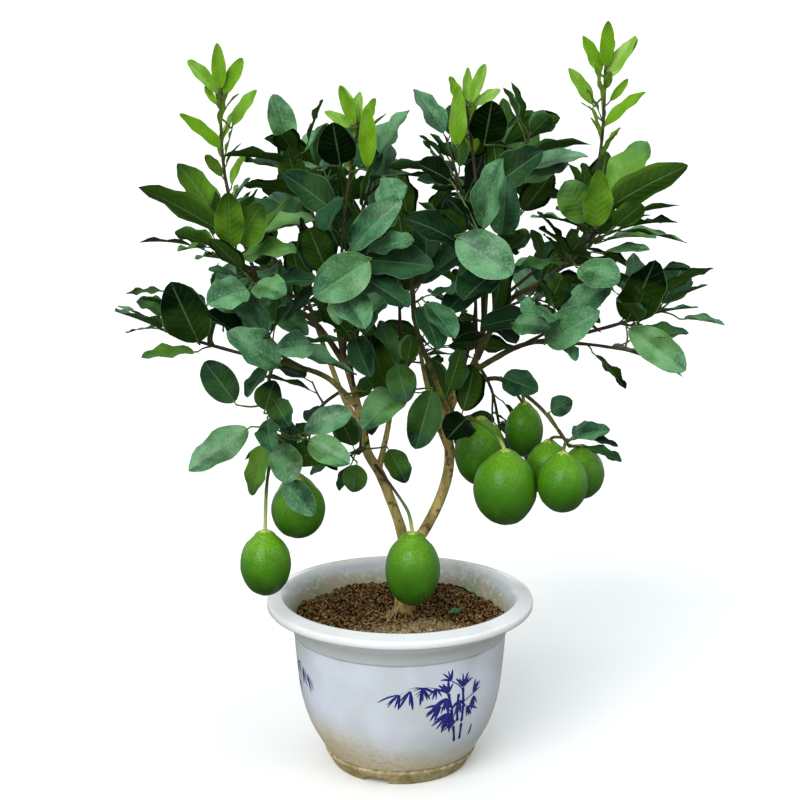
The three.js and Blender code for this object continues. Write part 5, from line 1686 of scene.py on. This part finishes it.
class LemonTreeSettings(bpy.types.PropertyGroup):
    """The sizes and colours that a user may change before the pieces are made."""

    leaf_thickness: bpy.props.FloatProperty(name="Leaf thickness", description="Thickness at the midrib",
                                            default=0.00035, min=0.0001, max=0.001, subtype="DISTANCE",
                                            unit="LENGTH", precision=5)
    leaf_waving: bpy.props.FloatProperty(name="Leaf waving", description="Waving of margins, by half width",
                                         default=0.26, min=0, max=0.5, subtype="FACTOR")
    fine_share: bpy.props.FloatProperty(name="Small leaves", description="Small leaves for each full one",
                                        default=0.6, min=0, max=2, subtype="FACTOR")
    bark_relief: bpy.props.FloatProperty(name="Bark relief", description="Strength of the bark's relief",
                                         default=1.0, min=0, max=2, subtype="FACTOR")
    grains: bpy.props.IntProperty(name="Grains", description="Loose grains on the soil", default=5200, min=0,
                                  max=12000)
    glaze: colour_property("Glaze", "Clean glaze of the pot", rgb(214, 221, 236))
    ink: colour_property("Ink", "Ink of the painted sprays", rgb(24, 26, 106))
    soil: colour_property("Soil", "Crumbs of the soil", rgb(182, 138, 78))
    bark: colour_property("Bark", "Clean bark of trunk and boughs", rgb(206, 184, 116))
    twig: colour_property("Twigs", "Green twigs and stalks", rgb(74, 100, 36))
    # Painted light: the light leaf colour is the lit one, with a painted sky sheen, and the dark one is
    # painted shade.
    leaf_lit: colour_property("Light leaves", "The lightest grown leaves", rgb(80, 139, 95))
    leaf_shaded: colour_property("Dark leaves", "The darkest grown leaves", rgb(2, 19, 0))
    leaf_young: colour_property("Young leaves", "Leaves of the new shoots", rgb(104, 152, 18))
    fruit: colour_property("Fruit", "Peel of the fruit", rgb(84, 150, 12))


class LemonTreePot(bpy.types.Operator):
    """Makes the glazed pot"""

    bl_idname = "lemon_tree.pot"
    bl_label = "Pot"

    def execute(self, context):
        return dress(build_pot(glaze_finish(settings().glaze)), ["pot"])


class LemonTreeSoil(bpy.types.Operator):
    """Makes the soil with its grains and straw"""

    bl_idname = "lemon_tree.soil"
    bl_label = "Soil"

    def execute(self, context):
        return dress(build_soil(settings().grains, soil_finish(settings().soil)), ["soil"])


class LemonTreeSprays(bpy.types.Operator):
    """Makes the painted sprays on the pot"""

    bl_idname = "lemon_tree.sprays"
    bl_label = "Painted sprays"

    def execute(self, context):
        return dress(build_sprays(ink_finish(settings().ink)), ["pot"])


class LemonTreeWood(bpy.types.Operator):
    """Makes the trunk and boughs with their bark"""

    bl_idname = "lemon_tree.wood"
    bl_label = "Trunk and boughs"

    def execute(self, context):
        limbs, _ = limbs_and_masses()
        piece = build_wood(limbs, settings().bark_relief, bark_finish(settings().bark))
        return dress(piece, list(limbs))


class LemonTreeTwigs(bpy.types.Operator):
    """Makes the twigs and stalks"""

    bl_idname = "lemon_tree.twigs"
    bl_label = "Twigs"

    def execute(self, context):
        finish = twig_finish(settings().twig, rgb(56, 46, 26))
        return dress(build_twigs(limbs_and_masses()[1], finish), mass_nodes())


class LemonTreeLeaves(bpy.types.Operator):
    """Makes the grown leaves and the young ones"""

    bl_idname = "lemon_tree.leaves"
    bl_label = "Leaves"

    def execute(self, context):
        chosen, masses = settings(), limbs_and_masses()[1]
        # Painted light: the dark colours here are painted shade, and the pale veins' colour is also laid as
        # painted sheen.
        grown = leaf_finish("leaf", chosen.leaf_lit, chosen.leaf_shaded, rgb(98, 146, 34), rgb(58, 90, 28),
                            rgb(128, 168, 122), 0.25)
        fresh = leaf_finish("young_leaf", chosen.leaf_young, rgb(54, 100, 8), chosen.leaf_young,
                            rgb(128, 164, 54), rgb(170, 196, 104), 0.3)
        for young, finish, slot in ((False, grown, "leaf"), (True, fresh, "young_leaf")):
            piece = build_leaves(masses, young, chosen.leaf_thickness, chosen.leaf_waving, finish)
            dress(piece, mass_nodes())
        return {"FINISHED"}


class LemonTreeFruit(bpy.types.Operator):
    """Makes the fruit"""

    bl_idname = "lemon_tree.fruit"
    bl_label = "Fruit"

    def execute(self, context):
        piece = build_fruit(limbs_and_masses()[1], fruit_finish(settings().fruit))
        return dress(piece, mass_nodes())


class LemonTreeStage(bpy.types.Operator):
    """Makes the floor, the lights, the sky and the camera"""

    bl_idname = "lemon_tree.stage"
    bl_label = "Stage"

    def execute(self, context):
        build_floor()
        build_sky()
        build_lights()
        build_camera()
        return {"FINISHED"}


class LemonTreePanel(bpy.types.Panel):
    """Lists the sizes, the colours and the pieces"""

    bl_idname = "VIEW3D_PT_lemon_tree"
    bl_label = "Lemon Tree"
    bl_space_type = "VIEW_3D"
    bl_region_type = "UI"
    bl_category = "Lemon Tree"

    def draw(self, context):
        for name in LemonTreeSettings.__annotations__:
            self.layout.prop(context.scene.lemon_tree, name)
        for step in STEPS:
            self.layout.operator(step.bl_idname)


def build_floor():
    """A wide pale floor."""
    half = FLOOR_HALF
    corners = np.array([[-half, -half, 0], [half, -half, 0], [half, half, 0], [-half, half, 0]])
    finish = Finish("floor", Specular_IOR_Level=0.0)
    grain = finish.noise(2.5, 2.0)
    finish.set(Base_Color=finish.mix(grain, (0.9, 0.9, 0.9, 1), (0.93, 0.93, 0.93, 1)),
               Roughness=0.9 + grain * 0.1)
    mesh = bpy.data.meshes.new("floor")
    mesh.from_pydata(corners.tolist(), [], [(0, 1, 2, 3)])
    mesh.materials.append(finish.material)
    floor = bpy.data.objects.new("floor", mesh)
    floor.visible_diffuse = False
    floor.visible_glossy = False
    bpy.context.scene.collection.objects.link(floor)


def build_sky():
    """A white sky: bright overhead and at the horizon, dimmer between, dark below."""
    world = bpy.data.worlds.new("sky")
    world.use_nodes = True
    bpy.context.scene.world = world
    tree = world.node_tree
    background = next(node for node in tree.nodes if node.type == "BACKGROUND")
    kinds = ("TexCoord", "SeparateXYZ", "Math", "ValToRGB")
    place, split, shift, ramp = (tree.nodes.new(f"ShaderNode{kind}") for kind in kinds)
    for element, (height, colour) in zip(ramp.color_ramp.elements, (SKY[0], SKY[-1])):
        element.position, element.color = height, colour
    for height, colour in SKY[1:-1]:
        ramp.color_ramp.elements.new(height).color = colour
    shift.operation = "MULTIPLY_ADD"
    shift.inputs[1].default_value = 0.5
    shift.inputs[2].default_value = 0.5
    tree.links.new(place.outputs["Generated"], split.inputs[0])
    tree.links.new(split.outputs[2], shift.inputs[0])
    tree.links.new(shift.outputs[0], ramp.inputs[0])
    tree.links.new(ramp.outputs[0], background.inputs["Color"])
    background.inputs["Strength"].default_value = SKY_STRENGTH


def aimed(place, target):
    """The turn that points a light or camera from a place at a target."""
    way = np.array(target, float) - np.array(place, float)
    return (math.atan2(math.hypot(way[0], way[1]), -way[2]), 0.0, math.atan2(-way[0], way[1]))


def build_lights():
    """A broad soft light from above and the front left, and a weaker one from the right."""
    for kind, place, energy, size in LIGHTS:
        data = bpy.data.lights.new("soft", kind)
        data.energy = energy
        if kind == "SUN":
            data.angle = size
        else:
            data.size = size
        lamp = bpy.data.objects.new("soft", data)
        bpy.context.scene.collection.objects.link(lamp)
        lamp.location = place
        lamp.rotation_euler = aimed(place, (0, 0, 0.4))


def build_camera():
    """The camera that matches the photograph, and a plain colour response."""
    data = bpy.data.cameras.new("camera")
    data.lens, data.sensor_width = CAMERA_LENS, 36
    camera = bpy.data.objects.new("camera", data)
    bpy.context.scene.collection.objects.link(camera)
    camera.location = CAMERA_PLACE
    camera.rotation_euler = (math.radians(90 - CAMERA_DIP), 0, 0)
    bpy.context.scene.camera = camera
    bpy.context.scene.view_settings.view_transform = "Standard"


TREE = {}
STEPS = (LemonTreePot, LemonTreeSoil, LemonTreeSprays, LemonTreeWood, LemonTreeTwigs, LemonTreeLeaves,
         LemonTreeFruit, LemonTreeStage)
CLASSES = (LemonTreeSettings, *STEPS, LemonTreePanel)


def register():
    for kind in CLASSES:
        bpy.utils.register_class(kind)
    bpy.types.Scene.lemon_tree = bpy.props.PointerProperty(type=LemonTreeSettings)


def unregister():
    del bpy.types.Scene.lemon_tree
    for kind in reversed(CLASSES):
        bpy.utils.unregister_class(kind)


def main():
    register()
    for step in STEPS:
        group, name = step.bl_idname.split(".")
        getattr(getattr(bpy.ops, group), name)()


if __name__ == "__main__":
    main()
